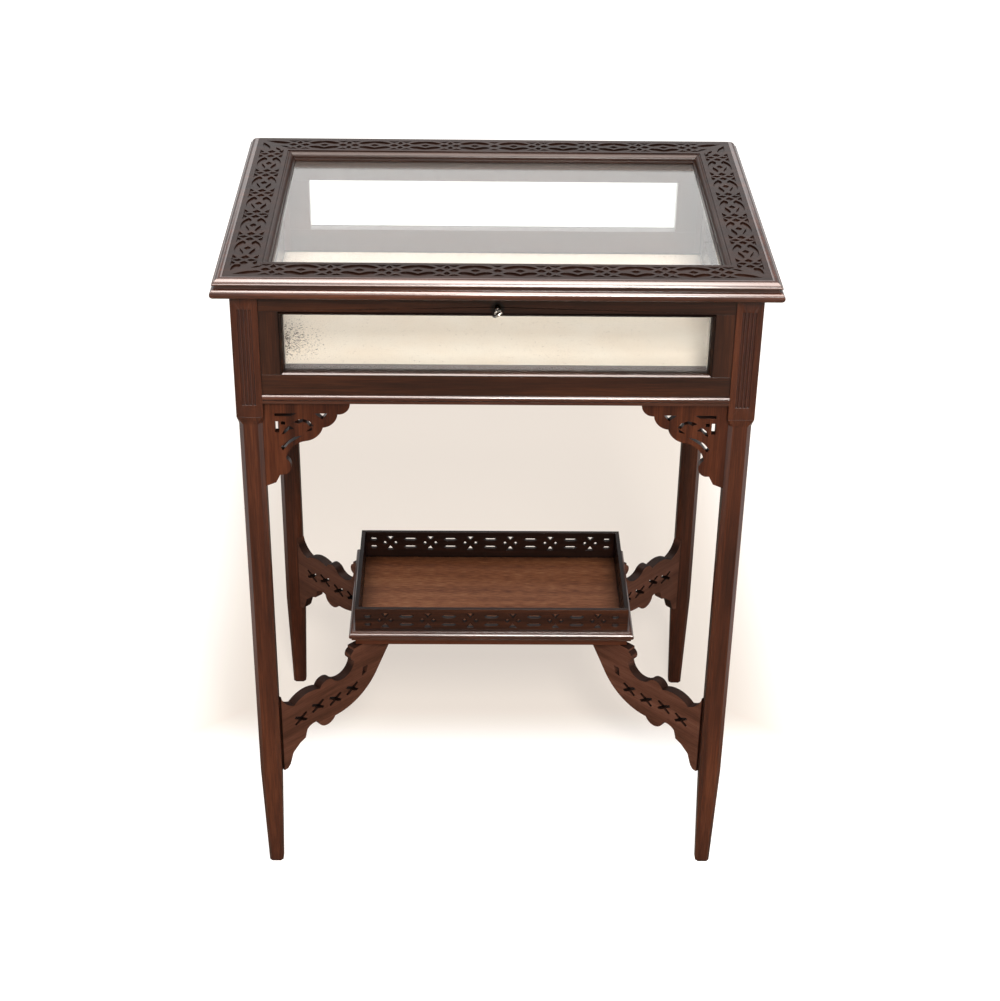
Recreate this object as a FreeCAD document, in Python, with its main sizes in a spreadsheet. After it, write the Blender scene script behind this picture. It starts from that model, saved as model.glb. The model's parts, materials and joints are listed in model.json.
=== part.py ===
import FreeCAD, Part
import math
import os
import Sketcher

# Collectors display table: a glazed case under a hinged glass lid, on four octagonal legs
# joined by pierced stretchers that carry a small galleried tray.
# Millimetres, +Z up, +Y to the back, origin on the floor under the middle of the lid.

doc = FreeCAD.newDocument("CollectorsTable")
sheet = doc.addObject("Spreadsheet::Sheet", "Sizes")


class Size:
    """A length that knows its number and the sheet expression that gives it."""

    def __init__(self, number, text):
        self.number = number
        self.text = text

    def join(self, other, sign, number):
        return Size(number, f"({self.text} {sign} {asSize(other).text})")

    def __add__(self, other):
        return self.join(other, "+", self.number + asSize(other).number)

    def __sub__(self, other):
        return self.join(other, "-", self.number - asSize(other).number)

    def __mul__(self, other):
        return self.join(other, "*", self.number * asSize(other).number)

    def __truediv__(self, other):
        return self.join(other, "/", self.number / asSize(other).number)

    def __neg__(self):
        return Size(-self.number, f"(-1 * {self.text})")

    def __radd__(self, other):
        return asSize(other) + self

    def __rsub__(self, other):
        return asSize(other) - self

    def __rmul__(self, other):
        return asSize(other) * self


def asSize(value):
    return value if isinstance(value, Size) else Size(float(value), repr(float(value)))


def root(size):
    return Size(math.sqrt(size.number), f"sqrt({size.text})")


def angleOf(rise, run):
    ratio = rise / run
    return Size(math.degrees(math.atan(ratio.number)), f"(atan({ratio.text}) / 1 deg)")


nextRow = 1


def cell(alias, value, note):
    """One driving dimension: its name, its value and what it measures."""
    global nextRow
    sheet.set(f"A{nextRow}", alias)
    sheet.set(f"B{nextRow}", str(value))
    sheet.setAlias(f"B{nextRow}", alias)
    sheet.set(f"C{nextRow}", note)
    nextRow += 1
    return Size(float(value), f"Sizes.{alias}")


# Overall and lid
tableWidth = cell("table_width", 560, "lid, outside, left to right")
tableDepth = cell("table_depth", 400, "lid, outside, front to back")
tableHeight = cell("table_height", 745, "floor to lid top")
lidThickness = cell("lid_thickness", 18, "lid frame and edge moulding")
lidGap = cell("lid_gap", 0.3, "under the closed lid")
overhangSide = cell("overhang_side", 17.5, "lid past the legs, sides")
overhangFront = cell("overhang_front", 14, "lid past the legs, front")
overhangBack = cell("overhang_back", 3.5, "lid past the legs, back")
lidMouldingWidth = cell("lid_moulding_width", 12, "edge moulding on front and sides")
borderWidth = cell("border_width", 36, "flat fret border, front and sides")
borderBackMargin = cell("border_back_margin", 3, "plain strip behind the back fret")
borderThickness = cell("border_thickness", 2, "fret plate on the lid rails")
lidBeadWidth = cell("lid_bead_width", 8, "step moulding inside the border")
lidBeadSink = cell("lid_bead_sink", 0.8, "step moulding below the lid top")
lidLipHeight = cell("lid_lip_height", 5, "lip of the lid rails under the pane")
lidGlassThickness = cell("lid_glass_thickness", 2.5, "pane laid on the lip")
glassClearance = cell("glass_clearance", 0.5, "pane to rebate, each edge")

# Legs
legSquare = cell("leg_square", 27, "square leg head")
headDrop = cell("head_drop", 16, "square head below the case")
neckHeight = cell("neck_height", 9, "lamb's tongues, square to octagon")
shaftFlats = cell("shaft_flats", 24, "octagonal shaft across its flats")
shaftCut = cell("shaft_cut", 4.6, "corner cut of the shaft")
legArris = cell("leg_arris", 0.4, "corner cut of the square head at its foot")
taperHeight = cell("taper_height", 135, "floor to start of the foot taper")
footFlats = cell("foot_flats", 16, "foot across its flats")
footCut = cell("foot_cut", 3.1, "corner cut of the foot")
fluteCount = 4
fluteWidth = cell("flute_width", 3, "flute across the leg face")
fluteDepth = cell("flute_depth", 1.2, "flute below the leg face")
flutePitch = cell("flute_pitch", 3.8, "flute to flute")
fluteTopMargin = cell("flute_top_margin", 18, "case top to flutes")
fluteDrop = cell("flute_drop", 2.2, "flutes below the case")

# Case
caseHeight = cell("case_height", 121.5, "glazed case, rails top to bottom")
railSetback = cell("rail_setback", 1.5, "rail face behind the leg face")
railThickness = cell("rail_thickness", 18, "rails and stiles")
topRailHeight = cell("top_rail_height", 25.3, "top rail down to the sight line")
bottomRailHeight = cell("bottom_rail_height", 36, "bottom rail up to the sight line")
stileWidth = cell("stile_width", 24, "stile from leg to sight line")
glassLap = cell("glass_lap", 4.5, "rebate round the sight opening, and bead width")
glassSetback = cell("glass_setback", 4, "rail face to glass")
glassThickness = cell("glass_thickness", 2, "case panes")
glazingBeadProud = cell("glazing_bead_proud", 1.5, "glazing bead past the rail face")
baseBeadHeight = cell("base_bead_height", 9.5, "bead along the foot of the case")
baseBeadProud = cell("base_bead_proud", 2.6, "base bead past the rail face")
boardThickness = cell("board_thickness", 6, "bottom board of the case")
liningThickness = cell("lining_thickness", 3.6, "lining pad on the board")
softGap = cell("soft_gap", 0.3, "round the lining pad")

# Pierced brackets
bracketReach = cell("bracket_reach", 87.5, "bracket along the rail, from the leg head")
bracketDrop = cell("bracket_drop", 99.5, "bracket down the leg")
bracketThickness = cell("bracket_thickness", 8, "bracket plate")
bracketSetback = cell("bracket_setback", 6, "bracket face behind the leg face")

# Tray and stretchers
trayWidth = cell("tray_width", 312, "tray board and gallery, left to right")
trayDepth = cell("tray_depth", 172, "tray board and gallery, front to back")
trayForward = cell("tray_forward", 3.2, "tray centre before the middle of the legs")
trayUnderside = cell("tray_underside", 240.5, "floor to tray board")
trayBoardThickness = cell("tray_board_thickness", 13.5, "tray board")
galleryHeight = cell("gallery_height", 35, "gallery above the tray floor")
galleryThickness = cell("gallery_thickness", 4.5, "gallery plates")
galleryLetIn = cell("gallery_let_in", 2, "gallery plates below the tray floor")
galleryFretDrop = cell("gallery_fret_drop", 15.5, "gallery top to middle of its fret")
motifPitch = cell("motif_pitch", 48.6, "crossed motif to crossed motif")
motifHalf = cell("motif_half", 9.4, "crossed motif, middle to edge")
slotLength = cell("slot_length", 17.2, "double slots between the motifs")
trayMouldingTop = cell("tray_moulding_top", 6, "moulding above the tray floor")
trayMouldingHeight = cell("tray_moulding_height", 11.4, "moulding round the tray")
trayMouldingProud = cell("tray_moulding_proud", 7, "moulding past the gallery")
stretcherThickness = cell("stretcher_thickness", 11, "stretcher plate")
stretcherRise = cell("stretcher_rise", 118, "lowest point on the leg up to the tray")
stretcherLap = cell("stretcher_lap", 57, "stretcher under the tray, past its corner")
legSeatGap = cell("leg_seat_gap", 0.15, "stretcher end to leg")

# Hinges
hingeSpread = cell("hinge_spread", 165, "hinge centre from the middle")
hingeWidth = cell("hinge_width", 44, "hinge along the rail")
hingeLeaf = cell("hinge_leaf", 1.2, "leaf thickness")
hingeReach = cell("hinge_reach", 20, "pin axis to front edge of a leaf")
hingeOffset = cell("hinge_offset", 3, "pin axis behind the lid")
knuckleRadius = cell("knuckle_radius", 2.75, "hinge knuckle")
knuckleGap = cell("knuckle_gap", 0.3, "between knuckles")
pinRadius = cell("pin_radius", 1.25, "hinge pin")
pinClearance = cell("pin_clearance", 0.05, "pin to knuckle bore")

# Lock and key
lockWidth = cell("lock_width", 40, "lock case along the rail")
lockDepth = cell("lock_depth", 9, "lock case into the rail")
lockHeight = cell("lock_height", 24, "lock case down from the rail top")
lockPlate = cell("lock_plate", 1, "front wall of the lock case")
boltWidth = cell("bolt_width", 12, "bolt along the rail")
boltThickness = cell("bolt_thickness", 2.4, "bolt, front to back")
boltLength = cell("bolt_length", 19, "bolt, up and down")
boltInset = cell("bolt_inset", 2.4, "bolt middle from the lock's back")
boltTravel = cell("bolt_travel", 5.5, "bolt throw")
boltClearance = cell("bolt_clearance", 0.2, "bolt in its slots")
keeperWidth = cell("keeper_width", 30, "keeper plate along the lid rail")
keeperDepth = cell("keeper_depth", 9, "keeper plate, front to back")
keeperThickness = cell("keeper_thickness", 1.2, "keeper plate")
keyDrop = cell("key_drop", 14, "rail top to key axis")
shankRadius = cell("shank_radius", 1.6, "key shank")
bitReach = cell("bit_reach", 5.6, "key bit from the axis")
bitLength = cell("bit_length", 3, "key bit along the shank")
bitThickness = cell("bit_thickness", 1.4, "key bit")
keyClearance = cell("key_clearance", 0.6, "round the turning bit")
keyStandOut = cell("key_stand_out", 21, "bow tip in front of the rail")
bowRadius = cell("bow_radius", 7, "key bow, outside")
bowInnerRadius = cell("bow_inner_radius", 4.4, "key bow, inside")
bowThickness = cell("bow_thickness", 2.4, "key bow")
bowTilt = cell("bow_tilt", 28, "bow turned from level, degrees")
keyholeRadius = cell("keyhole_radius", 2.6, "round of the keyhole")
keyholeSlot = cell("keyhole_slot", 1.3, "half width of the keyhole slot")
keyholeDrop = cell("keyhole_drop", 5.9, "key axis to foot of the slot")
escutcheonRim = cell("escutcheon_rim", 0.8, "plate round the keyhole")
escutcheonThickness = cell("escutcheon_thickness", 0.8, "keyhole plate")

doc.recompute()

# Heights and places that follow from the sizes above
lidTop = tableHeight
lidUnder = lidTop - lidThickness
caseTop = lidUnder - lidGap
caseBottom = caseTop - caseHeight
sightTop = caseTop - topRailHeight
sightBottom = caseBottom + bottomRailHeight
headBottom = caseBottom - headDrop
neckBottom = headBottom - neckHeight
halfSquare = legSquare / 2
legX = tableWidth / 2 - overhangSide - halfSquare
legFrontY = -(tableDepth / 2 - overhangFront - halfSquare)
legBackY = tableDepth / 2 - overhangBack - halfSquare
legMiddleY = (legFrontY + legBackY) / 2
faceSetback = halfSquare - railSetback
spanFront = 2 * (legX - halfSquare)
spanSide = legBackY - legFrontY - legSquare
rebateDepth = glassSetback + glassThickness

# Each side of the case in its own frame: x along the side, y inwards from the rail face
sides = {
    "front": (asSize(0), legFrontY - faceSetback, 0, spanFront),
    "right": (legX + faceSetback, legMiddleY, 90, spanSide),
    "back": (asSize(0), legBackY + faceSetback, 180, spanFront),
    "left": (-(legX + faceSetback), legMiddleY, 270, spanSide),
}


# ---- helpers -------------------------------------------------------------------------------

parts = []


def setSize(thing, name, size):
    setattr(thing, name, asSize(size).number)
    if isinstance(size, Size):
        thing.setExpression(name, size.text)


def place(thing, x=0, y=0, z=0, turn=0, axis=(0, 0, 1)):
    """Bind the placement to the sheet; turn is in degrees about the axis."""
    base = FreeCAD.Vector(asSize(x).number, asSize(y).number, asSize(z).number)
    rotation = FreeCAD.Rotation(FreeCAD.Vector(*axis), asSize(turn).number)
    thing.Placement = FreeCAD.Placement(base, rotation)
    for direction, size in (("x", x), ("y", y), ("z", z)):
        if isinstance(size, Size):
            thing.setExpression(f"Placement.Base.{direction}", size.text)
    if isinstance(turn, Size):
        thing.setExpression("Placement.Rotation.Angle", turn.text)


def finish(thing, name):
    thing.Label = name
    parts.append(thing)
    return thing


def line(x, y):
    return (None, (x, y))


def arc(middleX, middleY, x, y):
    return ((middleX, middleY), (x, y))


def rectangle(left, low, right, high):
    return [line(left, low), line(right, low), line(right, high), line(left, high)]


def vector(point):
    return FreeCAD.Vector(asSize(point[0]).number, asSize(point[1]).number, 0)


def bindAll(sketch, wanted):
    """Add the constraints in one go, then bind the ones that carry a size to the sheet."""
    indices = sketch.addConstraint([constraint for constraint, size in wanted])
    for index, (constraint, size) in zip(indices, wanted):
        if isinstance(size, Size):
            sketch.setExpression(f"Constraints[{index}]", size.text)


def held(geometry, end, point):
    """Hold one point of a sketch at its place from the sheet."""
    return [(Sketcher.Constraint(f"Distance{direction}", -1, 1, geometry, end,
                                 asSize(size).number), size)
            for direction, size in zip("XY", point)]


def drawLoops(sketch, loops, closed=True):
    """Loops of lines and three-point arcs; each step names where it ends."""
    curves = []
    guides = []
    for steps in loops:
        for index in range(0 if closed else 1, len(steps)):
            middle, corner = steps[index]
            start = vector(steps[index - 1][1])
            if middle is None:
                curves.append(Part.LineSegment(start, vector(corner)))
            else:
                curves.append(Part.Arc(start, vector(middle), vector(corner)))
                guides.append((len(curves) - 1, middle))
    sketch.addGeometry(curves, False)
    guidePoints = sketch.addGeometry([Part.Point(vector(middle)) for _, middle in guides], True)
    wanted = []
    for guide, (curve, middle) in zip(guidePoints, guides):
        wanted += held(guide, 1, middle)
        wanted.append((Sketcher.Constraint("PointOnObject", guide, 1, curve), None))
    curve = 0
    for steps in loops:
        ends = []
        for index in range(0 if closed else 1, len(steps)):
            start = vector(steps[index - 1][1])
            first = 1 if (sketch.getPoint(curve, 1) - start).Length < 1e-6 else 2
            ends.append((curve, first, 3 - first))
            wanted += held(curve, 3 - first, steps[index][1])
            curve += 1
        for index, (geometry, first, last) in enumerate(ends):
            before = ends[index - 1]
            if index or closed:
                joint = Sketcher.Constraint("Coincident", before[0], before[2], geometry, first)
                wanted.append((joint, None))
            else:
                wanted += held(geometry, first, steps[0][1])
    bindAll(sketch, wanted)


def newBody(name):
    return doc.addObject("PartDesign::Body", name)


def bodySketch(body, role, loops, offset=0, closed=True):
    """A sketch on one of the body's own origin planes, moved along its normal."""
    sketch = body.newObject("Sketcher::SketchObject", f"{body.Name}_sketch")
    plane = [item for item in body.Origin.OriginFeatures if item.Role == role][0]
    sketch.AttachmentSupport = [(plane, "")]
    sketch.MapMode = "FlatFace"
    sketch.AttachmentOffset = FreeCAD.Placement(
        FreeCAD.Vector(0, 0, asSize(offset).number), FreeCAD.Rotation())
    if isinstance(offset, Size):
        sketch.setExpression("AttachmentOffset.Base.z", offset.text)
    if loops:
        drawLoops(sketch, loops, closed)
    return sketch


def pad(body, sketch, length, side="One side", reverse=False):
    feature = body.newObject("PartDesign::Pad", f"{body.Name}_pad")
    feature.Profile = sketch
    feature.SideType = side
    feature.Reversed = reverse
    setSize(feature, "Length", length)
    return feature


def pocket(body, sketch, depth, reverse=False, side="One side"):
    feature = body.newObject("PartDesign::Pocket", f"{body.Name}_pocket")
    feature.Profile = sketch
    feature.SideType = side
    feature.Reversed = reverse
    setSize(feature, "Length", depth)
    return feature


def pipe(body, profile, spine):
    """A moulding run along its path, mitred at the corners."""
    feature = body.newObject("PartDesign::AdditivePipe", f"{body.Name}_pipe")
    feature.Profile = profile
    feature.Spine = spine
    feature.Transition = "Right corner"
    return feature


def looseSketch(name, loops, upright=False):
    """A sketch of its own, lying in plan or standing in the XZ plane."""
    sketch = doc.addObject("Sketcher::SketchObject", name)
    if upright:
        sketch.Placement = FreeCAD.Placement(
            FreeCAD.Vector(0, 0, 0), FreeCAD.Rotation(FreeCAD.Vector(1, 0, 0), 90))
    drawLoops(sketch, loops)
    return sketch


def extrusion(name, sketch, length, direction):
    solid = doc.addObject("Part::Extrusion", name)
    solid.Base = sketch
    solid.DirMode = "Custom"
    solid.Dir = FreeCAD.Vector(*direction)
    solid.Solid = True
    solid.Symmetric = True
    setSize(solid, "LengthFwd", length)
    return solid


def box(name, x, y, z, length, width, height):
    solid = doc.addObject("Part::Box", name)
    setSize(solid, "Length", length)
    setSize(solid, "Width", width)
    setSize(solid, "Height", height)
    place(solid, x, y, z)
    return solid


def cylinder(name, radius, height, x=0, y=0, z=0, turn=0, axis=(0, 0, 1)):
    solid = doc.addObject("Part::Cylinder", name)
    setSize(solid, "Radius", radius)
    setSize(solid, "Height", height)
    place(solid, x, y, z, turn, axis)
    return solid


def fuse(name, solids):
    union = doc.addObject("Part::MultiFuse", name)
    union.Shapes = solids
    return union


def cut(name, base, tool):
    difference = doc.addObject("Part::Cut", name)
    difference.Base = base
    difference.Tool = tool
    return difference


def group(name, solids):
    compound = doc.addObject("Part::Compound", name)
    compound.Links = solids
    return compound


# ---- legs ----------------------------------------------------------------------------------

def octagon(flats, corner):
    half = flats / 2
    inner = half - corner
    return [line(inner, -half), line(half, -inner), line(half, inner), line(inner, half),
            line(-inner, half), line(-half, inner), line(-half, -inner), line(-inner, -half)]


def makeLeg(name, x, y, towardsX, towardsY):
    """Octagonal shaft with a tapered foot, dowelled under a square fluted corner post.

    towardsX and towardsY are +1 or -1, pointing at the middle of the table."""
    shaft = newBody(f"{name}_shaft")
    sections = ((footFlats, footCut, 0), (shaftFlats, shaftCut, taperHeight),
                (shaftFlats, shaftCut, neckBottom), (legSquare, legArris, headBottom))
    sketches = [bodySketch(shaft, "XY_Plane", [octagon(flats, corner)], height)
                for flats, corner, height in sections]
    loft = shaft.newObject("PartDesign::AdditiveLoft", f"{name}_loft")
    loft.Profile = sketches[0]
    loft.Sections = sketches[1:]
    loft.Ruled = True

    post = newBody(f"{name}_post")
    square = rectangle(-halfSquare, -halfSquare, halfSquare, halfSquare)
    pad(post, bodySketch(post, "XY_Plane", [square], headBottom), caseTop - headBottom)

    # the post's inner corner is cut back flush with the rails, inside the case
    inner = faceSetback - railThickness
    cornerX = -towardsX * inner
    cornerY = -towardsY * inner
    farX = towardsX * halfSquare
    farY = towardsY * halfSquare
    corner = [line(cornerX, cornerY), line(farX, cornerY), line(farX, farY), line(cornerX, farY)]
    pocket(post, bodySketch(post, "XY_Plane", [corner], caseBottom), caseHeight, reverse=True)

    # flutes on the two outer faces, each a shallow channel with sloping sides
    channels = []
    for index in range(fluteCount):
        along = flutePitch * (index - (fluteCount - 1) / 2)
        channel = [(halfSquare, along - fluteWidth / 2), (halfSquare, along + fluteWidth / 2),
                   (halfSquare - fluteDepth, along + fluteWidth / 4),
                   (halfSquare - fluteDepth, along - fluteWidth / 4)]
        channels.append([line(-towardsX * out, side) for out, side in channel])
        channels.append([line(side, -towardsY * out) for out, side in channel])
    fluteSketch = bodySketch(post, "XY_Plane", channels, caseBottom - fluteDrop)
    pocket(post, fluteSketch, caseHeight + fluteDrop - fluteTopMargin, reverse=True)
    leg = group(name, [shaft, post])
    place(leg, x, y)
    finish(leg, name)


makeLeg("leg_front_left", -legX, legFrontY, 1, 1)
makeLeg("leg_front_right", legX, legFrontY, -1, 1)
makeLeg("leg_back_left", -legX, legBackY, 1, -1)
makeLeg("leg_back_right", legX, legBackY, -1, -1)


# ---- case rails, stiles, panes and beads ----------------------------------------------------

lockBackY = railThickness
boltY = lockBackY - boltInset
keyZ = caseTop - keyDrop
hingeAxisY = tableDepth / 2 + hingeOffset
hingeAxisZ = lidUnder - lidGap / 2
leafFrontY = hingeAxisY - hingeReach


def keyholeLoop(rim=0):
    """Round head and straight slot, with the same rim left all round."""
    radius = keyholeRadius + rim
    half = keyholeSlot + rim
    neck = root(radius * radius - half * half)
    return [line(-half, -(keyholeDrop + rim)), line(half, -(keyholeDrop + rim)),
            line(half, -neck), arc(asSize(0), radius, -half, -neck)]


def makeTopRail(side):
    x, y, turn, span = sides[side]
    body = newBody(f"top_rail_{side}")
    section = [line(0, sightTop + glassLap), line(rebateDepth, sightTop + glassLap),
               line(rebateDepth, sightTop), line(railThickness, sightTop),
               line(railThickness, caseTop), line(0, caseTop)]
    pad(body, bodySketch(body, "YZ_Plane", [section]), span, "Symmetric")
    if side == "front":
        mortise = rectangle(-lockWidth / 2, lockBackY - lockDepth, lockWidth / 2, lockBackY)
        pocket(body, bodySketch(body, "XY_Plane", [mortise], caseTop), lockHeight)
        hole = [(middle and (middle[0], middle[1] + keyZ), (end[0], end[1] + keyZ))
                for middle, end in keyholeLoop()]
        holeSketch = bodySketch(body, "XZ_Plane", [hole], -(lockBackY - lockDepth))
        pocket(body, holeSketch, lockBackY - lockDepth, reverse=True)
    if side == "back":
        # in this side's frame the hinge axis lies outside the rail face
        leafEnd = y - leafFrontY
        for centre in (-hingeSpread, hingeSpread):
            recess = rectangle(centre - hingeWidth / 2, asSize(0), centre + hingeWidth / 2, leafEnd)
            pocket(body, bodySketch(body, "XY_Plane", [recess], caseTop), hingeLeaf)
    place(body, x, y, 0, turn)
    finish(body, body.Name)


def makeBottomRail(side):
    x, y, turn, span = sides[side]
    body = newBody(f"bottom_rail_{side}")
    section = [line(0, caseBottom), line(railThickness, caseBottom),
               line(railThickness, sightBottom), line(rebateDepth, sightBottom),
               line(rebateDepth, sightBottom - glassLap), line(0, sightBottom - glassLap)]
    pad(body, bodySketch(body, "YZ_Plane", [section]), span, "Symmetric")
    place(body, x, y, 0, turn)
    finish(body, body.Name)


def makeStile(side, end):
    """A rebated upright between the two rails, against the leg; end is -1 or +1."""
    x, y, turn, span = sides[side]
    name = f"stile_{side}_{'low' if end < 0 else 'high'}"
    outerWidth = stileWidth - glassLap
    outerStart = -span / 2 if end < 0 else span / 2 - outerWidth
    lipStart = -span / 2 if end < 0 else span / 2 - stileWidth
    outer = box(f"{name}_outer", outerStart, 0, sightBottom - glassLap,
                outerWidth, rebateDepth, sightTop - sightBottom + 2 * glassLap)
    lip = box(f"{name}_lip", lipStart, rebateDepth, sightBottom,
              stileWidth, railThickness - rebateDepth, sightTop - sightBottom)
    stile = fuse(name, [outer, lip])
    place(stile, x, y, 0, turn)
    return stile


def makePane(side):
    x, y, turn, span = sides[side]
    half = span / 2 - stileWidth + glassLap - glassClearance
    body = newBody(f"pane_{side}")
    outline = rectangle(-half, sightBottom - glassLap + glassClearance,
                        half, sightTop + glassLap - glassClearance)
    sketch = bodySketch(body, "XZ_Plane", [outline], -rebateDepth)
    pad(body, sketch, glassThickness)
    place(body, x, y, 0, turn)
    finish(body, body.Name)


def makeGlazingBead(side):
    """One rounded bead mitred round the pane, standing a little proud of the rails."""
    x, y, turn, span = sides[side]
    half = span / 2 - stileWidth + glassLap
    low = sightBottom - glassLap
    high = sightTop + glassLap
    body = newBody(f"glazing_bead_{side}")
    path = bodySketch(body, "XZ_Plane", [rectangle(-half, low, half, high)], -glassSetback)
    crown = -glazingBeadProud
    section = [line(glassSetback, low), line(crown * 0.27, low),
               arc(crown, low + glassLap * 0.36, crown * 0.2, low + glassLap * 0.72),
               line(glassSetback * 0.4, low + glassLap * 0.86), line(glassSetback, low + glassLap)]
    profile = bodySketch(body, "YZ_Plane", [section])
    pipe(body, profile, path)
    place(body, x, y, 0, turn)
    finish(body, body.Name)


def makeBaseBead(side):
    x, y, turn, span = sides[side]
    body = newBody(f"base_bead_{side}")
    proud = -baseBeadProud
    shoulder = proud * 0.35
    section = [line(0, caseBottom), line(proud * 0.6, caseBottom),
               line(proud * 0.6, caseBottom + baseBeadHeight * 0.34),
               line(shoulder, caseBottom + baseBeadHeight * 0.34),
               arc(proud, caseBottom + baseBeadHeight * 0.64,
                   shoulder, caseBottom + baseBeadHeight * 0.94),
               line(shoulder, caseBottom + baseBeadHeight), line(0, caseBottom + baseBeadHeight)]
    pad(body, bodySketch(body, "YZ_Plane", [section]), span, "Symmetric")
    place(body, x, y, 0, turn)
    return body


for side in sides:
    makeTopRail(side)
    makeBottomRail(side)
    makePane(side)
    makeGlazingBead(side)
finish(group("case_stiles", [makeStile(side, end) for side in sides for end in (-1, 1)]),
       "case_stiles")
finish(group("base_beads", [makeBaseBead(side) for side in sides]), "base_beads")

insideX = legX + faceSetback - railThickness
insideFrontY = legFrontY - faceSetback + railThickness
insideBackY = legBackY + faceSetback - railThickness

board = newBody("bottom_board")
boardOutline = rectangle(-insideX, insideFrontY, insideX, insideBackY)
pad(board, bodySketch(board, "XY_Plane", [boardOutline], caseBottom), boardThickness)
finish(board, "bottom_board")

finish(box("lining_pad", softGap - insideX, insideFrontY + softGap,
           caseBottom + boardThickness + softGap,
           2 * (insideX - softGap), insideBackY - insideFrontY - 2 * softGap, liningThickness),
       "lining_pad")


# ---- pierced brackets -----------------------------------------------------------------------

def bracketPoint(across, down):
    """Across from the leg head and down from the rail, as shares of the bracket."""
    return bracketReach * across, -(bracketDrop * down)


def onBracket(steps):
    loop = []
    for step in steps:
        end = bracketPoint(*step[-2:])
        middle = bracketPoint(*step[:2]) if len(step) == 4 else None
        loop.append((middle, end))
    return loop


shaftFace = (shaftFlats - legSquare) / 2
scrolledEdge = onBracket([
    (0, 0), (1, 0), (1, 0.042),
    (0.963, 0.116, 0.853, 0.154),       # nose lobe
    (0.811, 0.243, 0.678, 0.307),       # second lobe
    (0.615, 0.403, 0.470, 0.464),       # third lobe
    (0.298, 0.551, 0.235, 0.675),       # hollow
    (0.292, 0.762, 0.202, 0.862),       # knob
    (0.158, 0.862),
])
legEdge = [line(bracketReach * 0.105, -(bracketDrop * 0.955)), line(shaftFace, -bracketDrop),
           line(shaftFace, -(headDrop + neckHeight)), line(asSize(0), -headDrop)]
bracketPiercings = [onBracket(steps) for steps in (
    [(0.122, 0.143), (0.376, 0.143), (0.310, 0.176), (0.122, 0.176)],
    [(0.587, 0.143), (0.736, 0.143), (0.674, 0.212)],
    [(0.122, 0.236), (0.171, 0.236), (0.171, 0.362), (0.122, 0.362)],
    [(0.193, 0.236), (0.241, 0.236), (0.241, 0.274), (0.193, 0.272)],
    [(0.340, 0.246), (0.391, 0.218), (0.455, 0.208), (0.524, 0.233), (0.572, 0.285),
     (0.530, 0.298), (0.492, 0.254), (0.447, 0.240), (0.395, 0.262)],
    [(0.476, 0.353), (0.558, 0.299), (0.548, 0.340)],
    [(0.199, 0.391), (0.234, 0.322), (0.288, 0.280), (0.342, 0.322),
     (0.281, 0.332), (0.238, 0.372)],
    [(0.178, 0.538), (0.249, 0.468), (0.337, 0.418), (0.434, 0.400), (0.372, 0.436),
     (0.270, 0.499), (0.202, 0.574)],
)]
bracketSketch = looseSketch("bracket_pattern", [scrolledEdge + legEdge] + bracketPiercings, True)
bracketY = -railSetback + bracketSetback + bracketThickness / 2

for side in sides:
    originX, originY, turn, span = sides[side]
    for end, endName in ((-1, "a"), (1, "b")):
        # the plate is the same both ways round, so the far one is the near one turned about
        bracket = extrusion(f"bracket_{side}_{endName}", bracketSketch, bracketThickness, (0, 1, 0))
        along = {"front": (1, 0), "right": (0, 1), "back": (-1, 0), "left": (0, -1)}[side]
        inwards = (-along[1], along[0])
        x = originX + along[0] * end * span / 2 + inwards[0] * bracketY
        y = originY + along[1] * end * span / 2 + inwards[1] * bracketY
        place(bracket, x, y, caseBottom, turn if end < 0 else turn + 180)
        finish(bracket, bracket.Name)


# ---- stretchers -----------------------------------------------------------------------------

trayY = legMiddleY - trayForward
cornerRunX = legX - trayWidth / 2
cornerRunFront = trayY - trayDepth / 2 - legFrontY
cornerRunBack = legBackY - trayY - trayDepth / 2
cornerRunMean = (cornerRunFront + cornerRunBack) / 2
cornerDistance = root(cornerRunX * cornerRunX + cornerRunMean * cornerRunMean)
chamferDistance = (shaftFlats - shaftCut) / math.sqrt(2)
stretcherStart = chamferDistance + legSeatGap
stretcherLength = cornerDistance + stretcherLap - stretcherStart


def onStretcher(steps, centre=(0, 0)):
    """Along from the leg and up from the foot, as shares of the stretcher."""
    def point(along, up):
        return (stretcherStart + stretcherLength * (centre[0] + along),
                trayUnderside - stretcherRise * (1 - centre[1] - up))
    loop = []
    for step in steps:
        middle = point(*step[:2]) if len(step) == 4 else None
        loop.append((middle, point(*step[-2:])))
    return loop


stretcherEdge = onStretcher([
    (0, 0.876),
    (0.045, 0.752, 0.105, 0.700),       # shoulder at the leg
    (0.209, 0.764, 0.320, 0.738),       # long upper lobe
    (0.378, 0.800, 0.440, 0.752),       # round knob
    (0.542, 0.722, 0.616, 0.856),       # hollow under the tray's ear
    (0.589, 0.914, 0.617, 0.974),       # ear
    (0.617, 1), (1, 1),
    (0.920, 0.838, 0.818, 0.622),
    (0.655, 0.402, 0.441, 0.329),       # long lower sweep
    (0.372, 0.270, 0.297, 0.370),       # lower knob
    (0.249, 0.376, 0.203, 0.342),
    (0.186, 0.256), (0.138, 0.226),
    (0.079, 0.156), (0.052, 0.042), (0.030, 0.006), (0, 0),
])
crossedSlot = [(0.020, 0), (0.054, 0.036), (0.041, 0.054), (0, 0.024),
               (-0.041, 0.054), (-0.054, 0.036), (-0.020, 0), (-0.054, -0.036),
               (-0.041, -0.054), (0, -0.024), (0.041, -0.054), (0.054, -0.036)]
crossCentres = [(0.154, 0.509), (0.298, 0.549), (0.447, 0.524), (0.593, 0.542)]
stretcherPiercings = [onStretcher(crossedSlot, centre) for centre in crossCentres]
stretcherPiercings.append(onStretcher([(0.680, 0.635), (0.718, 0.650), (0.733, 0.728), (0.692, 0.728)]))
stretcherSketch = looseSketch("stretcher_pattern", [stretcherEdge] + stretcherPiercings, True)

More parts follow.
